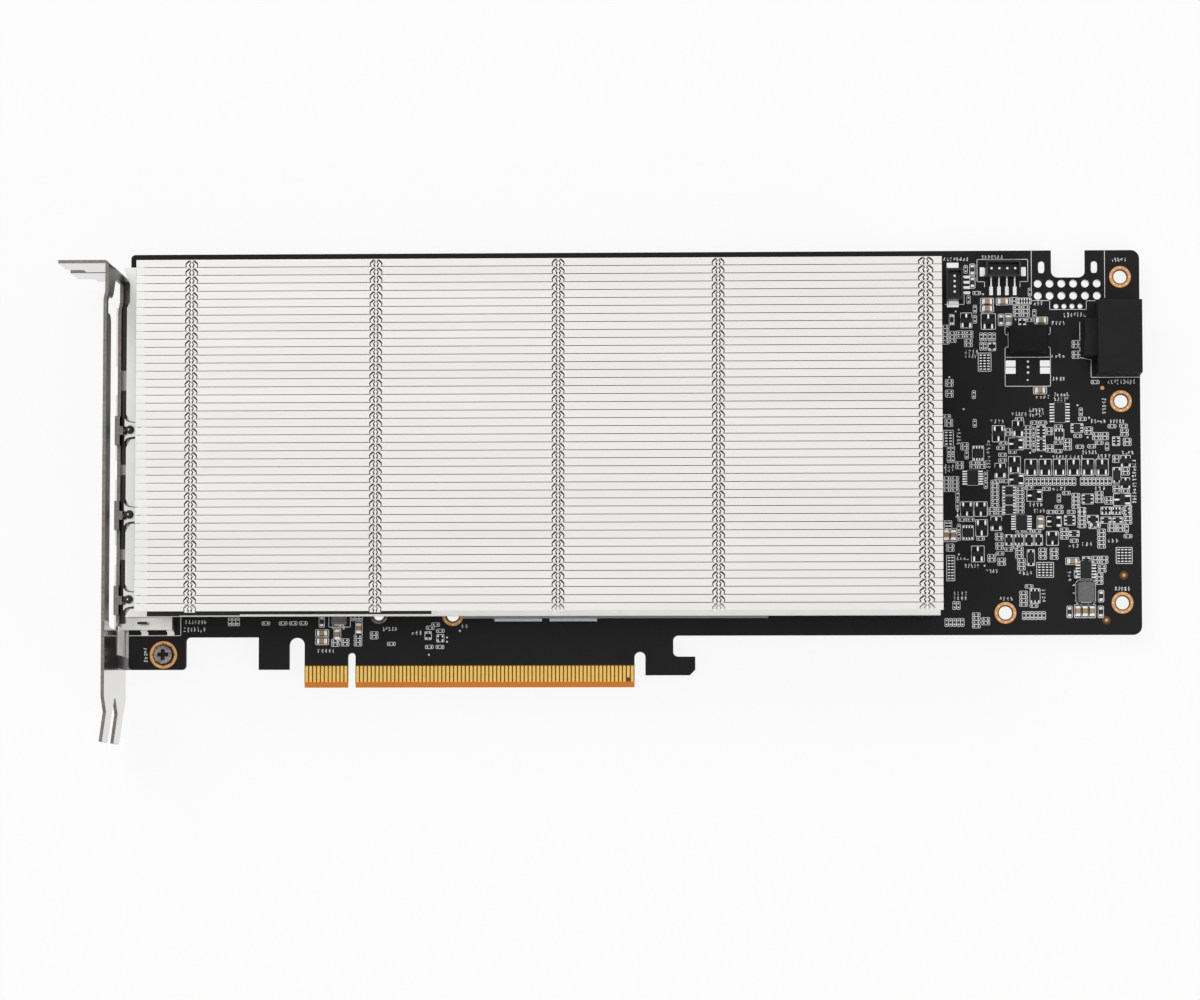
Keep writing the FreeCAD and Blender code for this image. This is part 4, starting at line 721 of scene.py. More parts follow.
# %% Gold contacts
CONTACT = {"high": 0.05, "corner": 0.22, "edge": 0.02}
bm = bmesh.new()
contacts = solids_of("edge_contacts_front")
tall_contact = max(high.y - low.y for low, high in contacts)
wide_contact = contacts[0][1].x - contacts[0][0].x
long_slab = slab_stamp("contact_slab", wide_contact, tall_contact, **CONTACT)
for low, high in contacts:
    mesh = long_slab
    if high.y - low.y < tall_contact - 0.1:
        mesh = slab_stamp("sense_slab", wide_contact, high.y - low.y, **CONTACT)
    stamp(bm, mesh, (low.x + high.x) / 2, (low.y + high.y) / 2)
print(len(contacts), "contacts,", round(tall_contact, 2), "mm long")
make_piece(bm, "gold_contacts", [gold], replaces=["edge_contacts_front"])

# %% [markdown]
# ## Small parts of the board
# The open end of the board carries hundreds of tiny two-ended parts: resistors with a black glaze and
# capacitors of bare ceramic, each between two tinned ends and inside a printed outline. They are laid out as
# rows and columns of one stamp, from a table of groups: centre, then how many side by side and above.

# %% Tables of the small parts
# ACROSS lies along X and UP along Y: x, y, columns, rows.
ACROSS = [
    (-17.6, 19.0, 1, 1), (-15.0, 19.0, 1, 1), (-12.5, 19.0, 1, 1), (-17.6, 16.4, 1, 1),
    (-15.0, 16.4, 1, 1), (-12.4, 16.4, 1, 1), (-1.7, 11.5, 1, 2), (-4.2, 11.4, 1, 2),
    (159.4, 100.3, 1, 1), (168.9, 98.2, 1, 2), (170.7, 95.6, 2, 3), (172.7, 93.4, 1, 1),
    (151.3, 89.7, 1, 5), (156.3, 89.7, 2, 2), (153.1, 89.1, 1, 3), (157.2, 87.5, 1, 2),
    (184.5, 87.1, 1, 2), (184.5, 84.4, 1, 2), (189.3, 77.4, 1, 1), (152.3, 77.3, 1, 2),
    (152.3, 74.6, 1, 2), (151.6, 68.8, 1, 1), (170.0, 68.0, 1, 1), (186.0, 68.0, 1, 1),
    (152.1, 67.1, 1, 2), (174.9, 67.1, 2, 1), (196.4, 66.2, 1, 1), (179.9, 66.1, 1, 1),
    (193.5, 66.1, 1, 1), (187.6, 65.0, 1, 2), (177.5, 64.9, 1, 2), (167.1, 64.7, 1, 2),
    (196.6, 64.5, 1, 2), (184.8, 63.7, 1, 1), (189.5, 63.6, 1, 2), (191.6, 63.6, 1, 2),
    (172.2, 63.4, 1, 6), (197.3, 62.1, 1, 2), (179.8, 62.0, 1, 1), (165.9, 61.9, 1, 1),
    (190.2, 61.9, 1, 1), (182.2, 61.5, 1, 3), (156.1, 61.1, 1, 2), (188.3, 61.0, 1, 1),
    (185.3, 60.9, 1, 1), (165.2, 60.7, 1, 1), (177.7, 60.5, 1, 2), (179.8, 59.8, 1, 1),
    (168.2, 59.7, 1, 1), (165.7, 58.9, 1, 1), (194.6, 57.8, 1, 2), (165.7, 57.5, 1, 1),
    (159.4, 56.4, 2, 2), (154.8, 56.3, 1, 2), (196.8, 54.6, 1, 2),
    (165.5, 52.2, 2, 1), (152.5, 51.5, 2, 4), (172.4, 50.5, 1, 1),
    (176.8, 50.2, 1, 1), (194.6, 50.2, 1, 2), (196.8, 49.6, 1, 1), (181.8, 49.1, 1, 1),
    (163.7, 49.0, 1, 7), (190.1, 48.1, 1, 3), (170.1, 47.3, 1, 7), (192.5, 47.2, 1, 2),
    (184.2, 47.1, 1, 4), (179.9, 45.6, 1, 1), (197.0, 44.6, 1, 2), (164.0, 44.5, 2, 2),
    (185.7, 44.5, 1, 2), (178.9, 44.3, 2, 1), (183.0, 44.3, 1, 1), (197.3, 43.6, 1, 5),
    (185.7, 42.7, 1, 5), (156.4, 42.4, 2, 1), (188.4, 40.5, 1, 1), (194.3, 40.2, 2, 2), (172.1, 39.4, 3, 1),
    (181.2, 38.8, 1, 3), (164.7, 38.1, 1, 2), (197.3, 38.1, 1, 1), (160.0, 37.6, 1, 1),
    (190.6, 37.5, 1, 5), (183.7, 37.0, 1, 1), (164.8, 35.7, 1, 2), (168.8, 35.5, 1, 1),
    (152.3, 35.3, 1, 2), (167.1, 34.8, 1, 1), (169.8, 34.0, 1, 3), (164.9, 33.8, 1, 1),
    (175.7, 33.7, 1, 3), (178.6, 33.7, 1, 3), (162.8, 32.6, 1, 2), (190.1, 32.1, 2, 2),
    (165.3, 31.7, 1, 2), (170.3, 31.0, 1, 3), (190.7, 29.9, 1, 2), (189.9, 27.3, 1, 3),
    (172.2, 25.4, 1, 1), (170.8, 22.3, 1, 4), (173.4, 20.5, 1, 1), (158.8, 16.8, 1, 4),
    (161.2, 16.6, 1, 2), (21.4, 16.0, 1, 1), (20.0, 15.2, 1, 1), (22.6, 14.4, 1, 1),
    (5.7, 13.3, 1, 2), (1.6, 12.0, 1, 3), (10.1, 11.1, 1, 1), (19.8, 10.3, 1, 1),
    (22.5, 10.3, 1, 1), (-22.0, 16.4, 1, 1),
]
UP = [
    (156.6, 106.4, 1, 1), (172.9, 100.5, 1, 1), (157.3, 98.6, 1, 1), (158.9, 96.2, 1, 1),
    (174.0, 95.0, 1, 1), (158.9, 93.6, 1, 1), (153.1, 93.5, 1, 1), (161.0, 89.1, 2, 1),
    (163.2, 89.1, 2, 1), (161.0, 86.7, 2, 1), (158.5, 74.3, 1, 1), (185.6, 69.8, 1, 1),
    (158.7, 67.0, 1, 1), (173.6, 62.8, 1, 3), (192.2, 61.0, 1, 1), (152.6, 59.1, 2, 2),
    (156.6, 58.9, 1, 1), (161.4, 52.4, 1, 2), (179.9, 47.8, 1, 1), (154.2, 46.4, 1, 3),
    (154.2, 44.0, 1, 1), (197.0, 40.0, 1, 1), (154.5, 39.2, 1, 2), (184.1, 28.5, 1, 1),
    (153.8, 20.6, 2, 1), (1.3, 18.0, 3, 1), (173.4, 18.0, 6, 1),
    (153.3, 16.3, 5, 1), (177.8, 52.1, 13, 1), (189.3, 52.1, 8, 1), (-30.2, 16.8, 3, 1),
]
# Somewhat larger ones, laid singly: x, y, turn.
MIDDLE = [
    (158.3, 106.3, 90), (158.3, 103.0, 90), (165.5, 93.4, 90), (188.9, 41.0, 0), (182.4, 18.9, 90),
    (190.3, 18.9, 90), (190.4, 22.9, 90), (-7.7, 16.8, 90),
]
# Empty places with short rows of pads: x, y, wide, tall.
BLOCKS = [
    (176.3, 29.6, 4.4, 3.9), (196.3, 33.2, 4.2, 4.2), (152.4, 30.1, 2.2, 6.6), (152.0, 63.2, 2.6, 4.2),
    (161.3, 82.6, 3.4, 4.8), (151.8, 40.4, 2.0, 3.6),
]
# Transistors: x, y, wide, tall, and the side with the single leg.
SOTS = [
    (164.7, 64.3, 3.3, 4.3, "bottom"), (169.7, 65.6, 3.1, 4.2, "top"),
    (169.1, 61.7, 3.9, 3.2, "left"), (165.1, 54.9, 2.9, 3.9, "top"), (168.7, 56.4, 3.2, 4.3, "top"),
    (169.1, 52.6, 4.0, 3.1, "left"), (195.9, 47.4, 4.5, 3.2, "left"),
    (156.6, 45.1, 3.4, 3.9, "bottom"), (160.1, 45.1, 3.4, 3.9, "bottom"),
    (173.7, 48.5, 4.0, 3.1, "left"), (196.9, 57.2, 2.5, 3.1, "top"), (196.8, 51.6, 2.3, 2.9, "top"),
    (156.7, 93.3, 3.0, 4.0, "top"), (162.3, 93.0, 3.8, 4.2, "top"),
    (160.3, 40.3, 3.2, 4.4, "bottom"), (164.0, 41.4, 2.9, 3.7, "top"),
    (159.3, 33.7, 3.4, 4.2, "top"), (178.6, 41.9, 3.9, 2.7, "left"),
    (178.2, 37.6, 3.2, 3.7, "bottom"),
]
# Little chips with legs on two sides: x, y, wide, tall, and H where the legs point along X.
NETS = [
    (175.5, 64.8, 2.3, 3.3, "H"), (175.5, 61.4, 2.3, 3.1, "H"), (180.1, 64.1, 2.5, 2.8, "V"),
    (184.6, 65.7, 3.2, 2.4, "H"), (167.3, 49.8, 3.5, 2.4, "H"), (167.3, 47.3, 3.5, 2.4, "H"),
    (167.3, 44.9, 3.5, 2.4, "H"), (187.2, 47.6, 3.0, 2.7, "H"), (194.5, 62.3, 2.0, 2.4, "H"),
    (194.6, 53.6, 2.2, 4.1, "V"), (159.5, 59.3, 3.0, 3.9, "V"),
    (171.5, 98.2, 3.6, 1.7, "V"), (170.9, 92.8, 2.0, 2.0, "H"),
    (163.2, 86.6, 2.0, 2.3, "H"), (153.0, 93.5, 1.4, 2.8, "V"), (156.8, 39.1, 3.0, 3.8, "V"),
    (167.2, 37.2, 2.1, 2.9, "V"), (169.7, 37.2, 2.5, 2.9, "V"), (172.3, 37.2, 2.3, 2.9, "V"),
    (174.7, 37.2, 2.1, 2.9, "V"), (172.7, 32.7, 2.0, 4.2, "V"), (183.7, 38.8, 2.7, 1.6, "H"),
    (182.6, 42.2, 2.9, 2.6, "H"), (188.5, 42.4, 2.9, 2.2, "H"), (191.8, 44.6, 2.7, 2.0, "V"),
    (194.4, 44.6, 2.5, 2.0, "V"), (191.8, 42.2, 2.7, 1.8, "H"), (194.7, 42.2, 2.5, 1.8, "H"),
    (186.7, 31.9, 2.1, 2.2, "H"), (173.7, 23.0, 2.7, 3.8, "V"), (19.5, 13.2, 1.8, 2.2, "H"),
    (22.6, 12.5, 2.0, 2.0, "V"),
]
# Marks beside the parts: left, foot, wide, tall.
LABELS = [
    (162.5, 66.9, 3.8, 1.0), (168.0, 68.8, 4.0, 1.0), (172.4, 69.8, 4.0, 1.0),
    (172.4, 68.6, 4.0, 1.0), (178.7, 73.8, 4.0, 1.0), (178.7, 72.5, 4.0, 1.0),
    (188.0, 66.9, 4.0, 1.0), (192.8, 66.9, 4.0, 0.9), (185.7, 59.0, 4.0, 1.0),
    (178.2, 57.8, 4.0, 0.9), (182.5, 57.8, 3.8, 0.9), (189.5, 58.0, 3.7, 1.0),
    (195.8, 58.9, 3.2, 0.9), (178.2, 77.8, 3.7, 1.0), (174.0, 73.2, 3.8, 1.0),
    (178.2, 49.8, 3.7, 0.9), (188.8, 49.8, 3.0, 1.0), (172.2, 45.7, 3.7, 1.0),
    (150.7, 55.5, 2.8, 1.0), (150.7, 54.3, 2.8, 1.0),
    (191.0, 69.3, 1.0, 4.1), (198.5, 52.2, 1.0, 5.5), (198.5, 46.4, 1.0, 5.5),
    (154.1, 61.4, 1.1, 4.4), (161.7, 59.0, 0.8, 3.8), (161.7, 54.6, 0.8, 4.1),
    (160.5, 109.0, 5.6, 1.0), (150.8, 108.6, 6.6, 0.8), (173.6, 97.1, 2.7, 1.0),
    (181.3, 93.9, 5.8, 1.4), (178.2, 92.1, 3.7, 0.9), (178.0, 83.7, 3.7, 0.9),
    (192.3, 76.7, 7.2, 1.4), (193.5, 108.3, 3.9, 0.8),
    (156.1, 84.9, 3.7, 0.8), (156.2, 83.8, 3.2, 0.8), (173.3, 44.2, 3.2, 0.9),
    (192.0, 36.5, 2.9, 0.9), (182.0, 35.2, 3.0, 0.9),
    (185.4, 35.7, 3.0, 0.9), (153.7, 32.1, 3.6, 0.9), (155.8, 30.2, 3.9, 0.9),
    (161.3, 28.9, 3.2, 0.8), (169.5, 28.3, 3.7, 0.9), (164.5, 21.8, 3.7, 0.9),
    (152.9, 23.2, 3.7, 0.9), (152.9, 22.0, 3.7, 0.9), (193.8, 24.3, 3.9, 0.9),
    (181.9, 26.6, 0.9, 2.9), (183.3, 23.3, 0.7, 2.9), (175.4, 21.3, 0.9, 3.5),
    (-5.3, 14.9, 3.7, 0.8), (-8.9, 8.9, 4.6, 0.9), (7.7, 14.4, 3.9, 1.0), (15.0, 13.5, 3.0, 0.8),
    (27.7, 15.2, 2.1, 0.7), (-43.1, 14.1, 5.7, 1.4), (-42.8, 16.3, 5.6, 0.8), (-53.2, 6.4, 0.9, 3.9),
]
# Dots that show a part's first leg: x, y.
DOTS = [
    (172.2, 78.0), (155.9, 70.6), (172.7, 59.4), (175.5, 58.5), (184.8, 71.5), (187.7, 68.3),
    (187.3, 63.3), (154.0, 95.6), (169.2, 93.5), (161.0, 100.0), (152.3, 78.8), (19.7, 8.3),
    (27.6, 14.4), (24.3, 12.7), (24.3, 11.6), (161.0, 30.7), (154.5, 33.6),
]
print(len(ACROSS) + len(UP), "groups,", len(SOTS), "transistors,", len(NETS), "networks")

# %% One two-ended part on its printed outline
CELL_LONG, CELL_WIDE = 2.16, 1.0
LAND_REACH, MIDDLE_REACH = 0.47, 0.8
INK, PAD = 0.02, 0.01


def two_ended_stamp(name, long, wide, high, end):
    """A small body between two tinned ends, lying along X."""
    bm = bmesh.new()
    add_box(bm, (-long / 2 + end, -wide / 2 + 0.02, 0), (long / 2 - end, wide / 2 - 0.02, high - 0.02))
    for side in (-1, 1):
        left, right = sorted((side * long / 2, side * (long / 2 - end)))
        add_box(bm, (left, -wide / 2, 0), (right, wide / 2, high), bevel=0.05, finish=1)
    bmesh.ops.recalc_face_normals(bm, faces=bm.faces)
    return keep_mesh(bm, name)


resistor = two_ended_stamp("resistor", 1.02, 0.42, 0.3, 0.2)
land = plate_stamp("land", 0.4, 0.42, corner=0.1)
cell_line = plate_stamp("cell_line", CELL_LONG, CELL_WIDE, corner=0.3, line=0.13)
middle_part = two_ended_stamp("middle_part", 1.7, 0.8, 0.5, 0.3)
middle_land = plate_stamp("middle_land", 0.75, 0.85, corner=0.12)
middle_line = plate_stamp("middle_line", 3.1, 1.5, corner=0.35, line=0.15)

ink_bm = bmesh.new()
pad_bm = bmesh.new()
small_bm = bmesh.new()


def lay_two_ended(x, y, turn, outline, body, end_land, reach):
    """One part on its printed outline, with a land under each end."""
    stamp(ink_bm, outline, x, y, INK, turn)
    for side in (-1, 1):
        stamp_beside(pad_bm, end_land, x, y, PAD, turn, (side * reach, 0))
    stamp(small_bm, body, x, y, 0.0, turn)


cells = 0
for groups, turn, step_x, step_y in ((ACROSS, 0, CELL_LONG, CELL_WIDE), (UP, 90, CELL_WIDE, CELL_LONG)):
    for x, y, columns, rows in groups:
        for across in spread(columns, step_x):
            for up in spread(rows, step_y):
                lay_two_ended(x + across, y + up, turn, cell_line, resistor, land, LAND_REACH)
                cells += 1
for x, y, turn in MIDDLE:
    lay_two_ended(x, y, turn, middle_line, middle_part, middle_land, MIDDLE_REACH)
print(cells + len(MIDDLE), "two-ended parts")

# %% [markdown]
# A small transistor is a moulded block with three gull-wing legs, two on one side and one on the other. Each
# leg leaves the block as a level shoulder, falls, and ends in a foot on its pad. At this size three little
# boxes read as the bent strip, so no bending is needed.

# %% Transistors in small moulded packages with three legs
LEG_SPOTS = ((-0.95, -1), (0.95, -1), (0.0, 1))
SHOULDER, FALL, FOOT = (0.6, 0.85, 0.3, 0.42), (0.8, 0.92, 0.02, 0.42), (0.85, 1.25, 0.0, 0.12)
LEG_HALF = 0.2


def transistor_stamp():
    """Three boxes make a leg: reach from, reach to, underside, top."""
    bm = bmesh.new()
    add_box(bm, (-1.45, -0.65, 0.08), (1.45, 0.65, 0.9), bevel=0.08)
    for x, side in LEG_SPOTS:
        for near, far, under, top in (SHOULDER, FALL, FOOT):
            start, end = sorted((side * near, side * far))
            add_box(bm, (x - LEG_HALF, start, under), (x + LEG_HALF, end, top), finish=1)
    bmesh.ops.recalc_face_normals(bm, faces=bm.faces)
    return keep_mesh(bm, "transistor")


transistor = transistor_stamp()
leg_land = plate_stamp("leg_land", 0.45, 1.15, corner=0.1)
chip_bm = bmesh.new()
TURNS = {"top": 0, "bottom": 180, "left": 90, "right": -90}


def lay_transistor(x, y, wide, tall, single):
    """single names the side that carries the single leg."""
    turn = TURNS[single]
    if turn % 180:
        wide, tall = tall, wide
    outline = plate_stamp("transistor_line", wide, tall, corner=0.25, line=0.15)
    stamp(ink_bm, outline, x, y, INK, turn)
    for across, side in LEG_SPOTS:
        stamp_beside(pad_bm, leg_land, x, y, PAD, turn, (across, side * (tall / 2 - 0.85)))
    stamp(chip_bm, transistor, x, y, 0.0, turn)


for low, high in solids_of("small_transistors"):
    lay_transistor((low.x + high.x) / 2, (low.y + high.y) / 2, 3.3, 4.3, "top")
for x, y, wide, tall, single in SOTS:
    lay_transistor(x, y, wide, tall, single)
print("after the transistors:", len(chip_bm.faces), "faces")

# %% Little chips with legs on two sides
NET_PITCH, NET_HIGH = 0.62, 0.5
NET_FOOT_TOP = 0.12
BLOCK_ROW, BLOCK_MARGIN = 0.75, 0.5


def lay_network(x, y, wide, tall, way):
    """A flat body with short feet on two sides; way is H where the feet point along X."""
    outline = plate_stamp("network_line", wide, tall, corner=0.2, line=0.14)
    stamp(ink_bm, outline, x, y, INK)
    across, along = (wide, tall) if way == "H" else (tall, wide)
    legs = max(2, int((along - 0.5) / NET_PITCH))
    turn = 0 if way == "H" else 90
    foot = plate_stamp("network_land", 0.62, 0.3, corner=0.05)
    for up in spread(legs, (along - 0.9) / (legs - 1)):
        for side in (-1, 1):
            stamp_beside(pad_bm, foot, x, y, NET_FOOT_TOP, turn, (side * (across / 2 - 0.5), up))
    body = slab_stamp("network_body", across - 1.5, along - 0.7, NET_HIGH, corner=0.05, edge=0.05)
    stamp(chip_bm, body, x, y, 0.0, turn)


def lay_block(x, y, wide, tall):
    """An empty place: an outline filled with short rows of pads."""
    stamp(ink_bm, plate_stamp("block_line", wide, tall, corner=0.15, line=0.15), x, y, INK)
    columns, rows = max(2, int(wide)), max(2, int(tall / BLOCK_ROW))
    for across in spread(columns, (wide - BLOCK_MARGIN) / columns):
        for up in spread(rows, (tall - BLOCK_MARGIN) / rows):
            stamp(pad_bm, block_land, x + across, y + up, PAD)


block_land = plate_stamp("block_land", 0.62, 0.26, corner=0.05)
for row in BLOCKS:
    lay_block(*row)
for row in NETS:
    lay_network(*row)
print("with the little chips:", len(chip_bm.faces), "faces")

# %% [markdown]
# The logic chips are the same kind of moulding, with more and finer legs. A ring near one corner is the mark
# of the mould that shows which leg is the first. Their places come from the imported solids. A leg is two
# boxes, shoulder and foot, told by where they start and end, measured inward from its tip, underside and top.

# %% Logic chips with moulded bodies and formed legs
CHIP_PITCH, CHIP_LEG_HALF = 0.65, 0.12
CHIP_LEG = ((0.62, 0.35, 0.35, 0.47), (0.42, 0.0, 0.0, 0.13))


def lay_chip(low, high):
    """A flat chip: body, a moulded ring at its first leg, and legs on its left and right."""
    x, y = (low.x + high.x) / 2, (low.y + high.y) / 2
    wide, tall = high.x - low.x, high.y - low.y
    body = slab_stamp("chip_body", wide - 1.2, tall - 0.2, high.z, corner=0.08, edge=0.1)
    stamp(chip_bm, body, x, y)
    dimple = ring_stamp("chip_dimple", 0.14, 0.24)
    stamp(chip_bm, dimple, x - wide / 2 + 1.1, y + tall / 2 - 0.6, high.z + 0.001)
    legs = max(4, int(round((tall - 0.4) / CHIP_PITCH)))
    for up in spread(legs, (tall - 0.8) / (legs - 1)):
        leg_y = y + up
        for side in (-1, 1):
            for inner, outer, under, top in CHIP_LEG:
                start, end = sorted((x + side * (wide / 2 - inner), x + side * (wide / 2 - outer)))
                add_box(chip_bm, (start, leg_y - CHIP_LEG_HALF, under),
                        (end, leg_y + CHIP_LEG_HALF, top), finish=1)
            stamp(pad_bm, chip_land, x + side * (wide / 2 + 0.05), leg_y, PAD)
    outline = plate_stamp("chip_line", wide - 1.0, tall, corner=0.12, line=0.14)
    stamp(ink_bm, outline, x, y, INK)


chip_land = plate_stamp("chip_land", 1.1, 0.32, corner=0.06)
for low, high in solids_of("logic_chips"):
    print("chip, mm:", [round(b - a, 2) for a, b in zip(low, high)])
    lay_chip(low, high)

# %% [markdown]
# A ceramic capacitor is a fired block between two metal ends that climb over its edges. It is the same shape
# as a resistor, only taller, so the same stamp maker serves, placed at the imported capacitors.

# %% Ceramic capacitors between tinned ends
capacitor = two_ended_stamp("capacitor", 2.0, 1.25, 1.2, 0.38)
big_land = plate_stamp("big_land", 0.7, 1.3, corner=0.15)
capacitor_line = plate_stamp("capacitor_line", 3.5, 1.9, corner=0.3, line=0.15)
capacitor_bm = bmesh.new()
for low, high in solids_of("ceramic_capacitors"):
    x, y = (low.x + high.x) / 2, (low.y + high.y) / 2
    turn = 0 if high.x - low.x > high.y - low.y else 90
    stamp(capacitor_bm, capacitor, x, y, 0.0, turn)
    stamp(ink_bm, capacitor_line, x, y, INK, turn)
    for side in (-1, 1):
        stamp_beside(pad_bm, big_land, x, y, PAD, turn, (side * 0.95, 0))
make_piece(capacitor_bm, "chip_capacitors", [ceramic_tan, tin],
           replaces=["ceramic_capacitors"])
make_piece(small_bm, "chip_resistors", [resistor_black, tin])
make_piece(chip_bm, "legged_chips", [chip_epoxy, tin],
           replaces=["small_transistors", "logic_chips"])

# %% [markdown]
# ## Inductors
# A power inductor is a coil pressed inside a block of iron powder. The block has rounded edges, a slightly
# rough skin, and two tinned clips that wrap round its ends.

# %% Pressed blocks with wrapped clips
CLIP_THICK, CLIP_HIGH, SKIN_BACK = 0.2, 1.8, 0.12


def add_strip(bm, start, end, wide, low, high, bevel=0.0, finish=1):
    """A flat bar of some width from start to end, which lie apart along X or along Y."""
    (left, right), (front, back) = [sorted(pair) for pair in zip(start, end)]
    side_x, side_y = (0, wide / 2) if right - left > back - front else (wide / 2, 0)
    add_box(bm, (left - side_x, front - side_y, low), (right + side_x, back + side_y, high),
            bevel=bevel, finish=finish)


def make_inductor(node, finish, clip_wide, along_x=True):
    """A pressed block with a clip round each end; the ends lie apart along X or along Y."""
    low, high = box_mm(node)
    bm = bmesh.new()
    add_box(bm, (low.x + SKIN_BACK, low.y + SKIN_BACK, low.z),
            (high.x - SKIN_BACK, high.y - SKIN_BACK, high.z), bevel=0.45, segments=3)
    middle = (low + high) / 2
    for end, inward in ((low, CLIP_THICK), (high, -CLIP_THICK)):
        outer = (end.x, middle.y) if along_x else (middle.x, end.y)
        inner = (end.x + inward, middle.y) if along_x else (middle.x, end.y + inward)
        add_strip(bm, outer, inner, clip_wide, 0, CLIP_HIGH, bevel=0.06)
    make_piece(bm, node + "_finished", [finish, tin], replaces=[node])


make_inductor("large_inductor", powder_dark, 4.2)
make_inductor("input_inductor", powder_grey, 2.6, along_x=False)
make_inductor("filter_inductor", powder_grey, 2.4, along_x=False)

# %% [markdown]
# Below the large inductor the board has a place for another that was left empty: four tinned lands, and a
# row of printed dots between them.

# %% Empty place for a second large inductor
LAND_COLUMNS, LAND_ROWS = (167.9, 176.6), (80.4, 82.2)
DOT_COLUMN, DOT_ROWS = 172.3, (79.9, 81.3, 82.7)
split_land = plate_stamp("split_land", 2.5, 1.6, corner=0.1)
for x in LAND_COLUMNS:
    for y in LAND_ROWS:
        stamp(pad_bm, split_land, x, y, PAD)
middle_dot = dot_stamp("three_dots", 0.33)
for y in DOT_ROWS:
    stamp(ink_bm, middle_dot, DOT_COLUMN, y, INK)
print("lands so far:", len(pad_bm.faces), "faces")

# %% [markdown]
# ## Small headers
# Two small wire-to-board headers stand near the top edge. A header is a black moulded tub round a row of
# square pins. Its legs run out on the board, and tinned tabs at the ends hold it down against pulling. The
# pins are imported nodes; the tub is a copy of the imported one, and the legs and tabs are short bars.

# %% Tubs, legs and tabs
LEG_WIDE, LEG_THICK = 0.42, 0.35
TAB_REACH = 0.9


def add_leg(bm, start, end):
    """A flat leg from the tub down to the board and out along it."""
    way = (Vector(end) - Vector(start)).normalized()
    add_strip(bm, start, Vector(start) + LEG_THICK * way, LEG_WIDE, 0.05, 0.9)
    add_strip(bm, start, end, LEG_WIDE, 0.02, 0.2, bevel=0.05)


def header_copy(node):
    """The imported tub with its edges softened."""
    bm = merged_copy(node)
    bmesh.ops.bevel(bm, geom=bm.edges[:], offset=0.06, segments=1, profile=0.5, affect="EDGES",
                    material=-1, clamp_overlap=True)
    for face in bm.faces:
        face.material_index = 0
    return bm


# %% The upper header, legs toward the foot of the board
FAN_PITCH, FAN_LEG = 2.0, 3.9
bm = header_copy("fan_header")
low, high = box_mm("fan_header")
fan_land = plate_stamp("fan_land", 0.9, 2.2, corner=0.1)
tab_land = plate_stamp("tab_land", 1.2, 2.3, corner=0.15)
for across in spread(4, FAN_PITCH):
    leg_x = (low.x + high.x) / 2 + across
    add_leg(bm, (leg_x, low.y), (leg_x, low.y - FAN_LEG))
    stamp(pad_bm, fan_land, leg_x, low.y - 3.2, PAD)
for x, side in ((low.x, -1), (high.x, 1)):
    start, end = sorted((x, x + side * TAB_REACH))
    add_box(bm, (start, low.y + 0.8, 0.02), (end, low.y + 2.5, 1.0), bevel=0.12, segments=2, finish=1)
    stamp(pad_bm, tab_land, x + side * 0.8, low.y + 1.7, PAD)
make_piece(bm, "fan_header_finished", [header_black, tin],
           replaces=["fan_header"])

# %% The side header, legs away from the fins
SIDE_PITCH, SIDE_LEG = 1.35, 1.6
bm = header_copy("side_header")
low, high = box_mm("side_header")
side_land = plate_stamp("side_land", 1.6, 0.7, corner=0.1)
side_tab_land = plate_stamp("side_tab_land", 3.0, 1.6, corner=0.15)
for up in spread(4, SIDE_PITCH):
    leg_y = (low.y + high.y) / 2 + up
    add_leg(bm, (high.x, leg_y), (high.x + SIDE_LEG, leg_y))
    stamp(pad_bm, side_land, high.x + 1.0, leg_y, PAD)
for y, side in ((low.y, -1), (high.y, 1)):
    start, end = sorted((y, y + side * TAB_REACH))
    add_box(bm, (low.x + 0.6, start, 0.02), (low.x + 2.9, end, 0.9), bevel=0.12, segments=2, finish=1)
    stamp(pad_bm, side_tab_land, low.x + 1.8, y + side * 0.9, PAD)
make_piece(bm, "side_header_finished", [header_black, tin],
           replaces=["side_header"])

# %% [markdown]
# ## Screws and rings
# The bracket and the brace are held by pan-head screws with a cross recess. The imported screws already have
# their recess, so a softened copy is enough. Each mounting hole has a plated ring with a circle of small
# vias that tie it to the ground layer inside the board.

# %% Softened screws
screw_top = box_mm("bracket_screws")[1].z
RECESS_RIM, RECESS_WIDE = 0.25, 3.2


def sort_screw_face(face):
    """The cross recess is painted darker than the plated dome round it, for the shade in it."""
    deep = face.calc_center_median().z < screw_top - RECESS_RIM
    return 1 if deep and face.normal.z > -0.5 and max(face_spans(face)[:2]) < RECESS_WIDE else 0


print("screw head, mm:", [round(high - low, 2) for low, high in zip(*solids_of("bracket_screws")[0])])
soften("bracket_screws", screw_metal, 0.08, sort_face=sort_screw_face,
       more=[recess_shade])
soften("brace_screws", screw_metal, 0.1)
soften("clinch_nut", screw_metal, 0.1)
dress(copper_ring, "ground_rings")

# %% Vias round the rings
LARGE_RING, VIAS = 6.0, 8
REACH_LARGE, REACH_SMALL = 2.85, 2.36
VIA_LEVEL, CLEARANCE_LEVEL = 0.055, 0.07
via = dot_stamp("via_dot", 0.16)
dark_bm = bmesh.new()
rings = solids_of("ground_rings")
for low, high in rings:
    x, y = (low.x + high.x) / 2, (low.y + high.y) / 2
    large = high.x - low.x > LARGE_RING
    target, reach = (dark_bm, REACH_LARGE) if large else (pad_bm, REACH_SMALL)
    for number in range(VIAS):
        angle = 2 * math.pi * number / VIAS
        stamp(target, via, x + reach * math.cos(angle), y + reach * math.sin(angle), VIA_LEVEL)
print("rings, mm wide:", [round(high.x - low.x, 2) for low, high in rings])

# %% Clearance round the screw heads, and the slot in the carrier
clearance = ring_stamp("clearance", 2.2, 2.74, sides=32)
for low, high in solids_of("bracket_screws"):
    stamp(dark_bm, clearance, (low.x + high.x) / 2, (low.y + high.y) / 2, CLEARANCE_LEVEL)
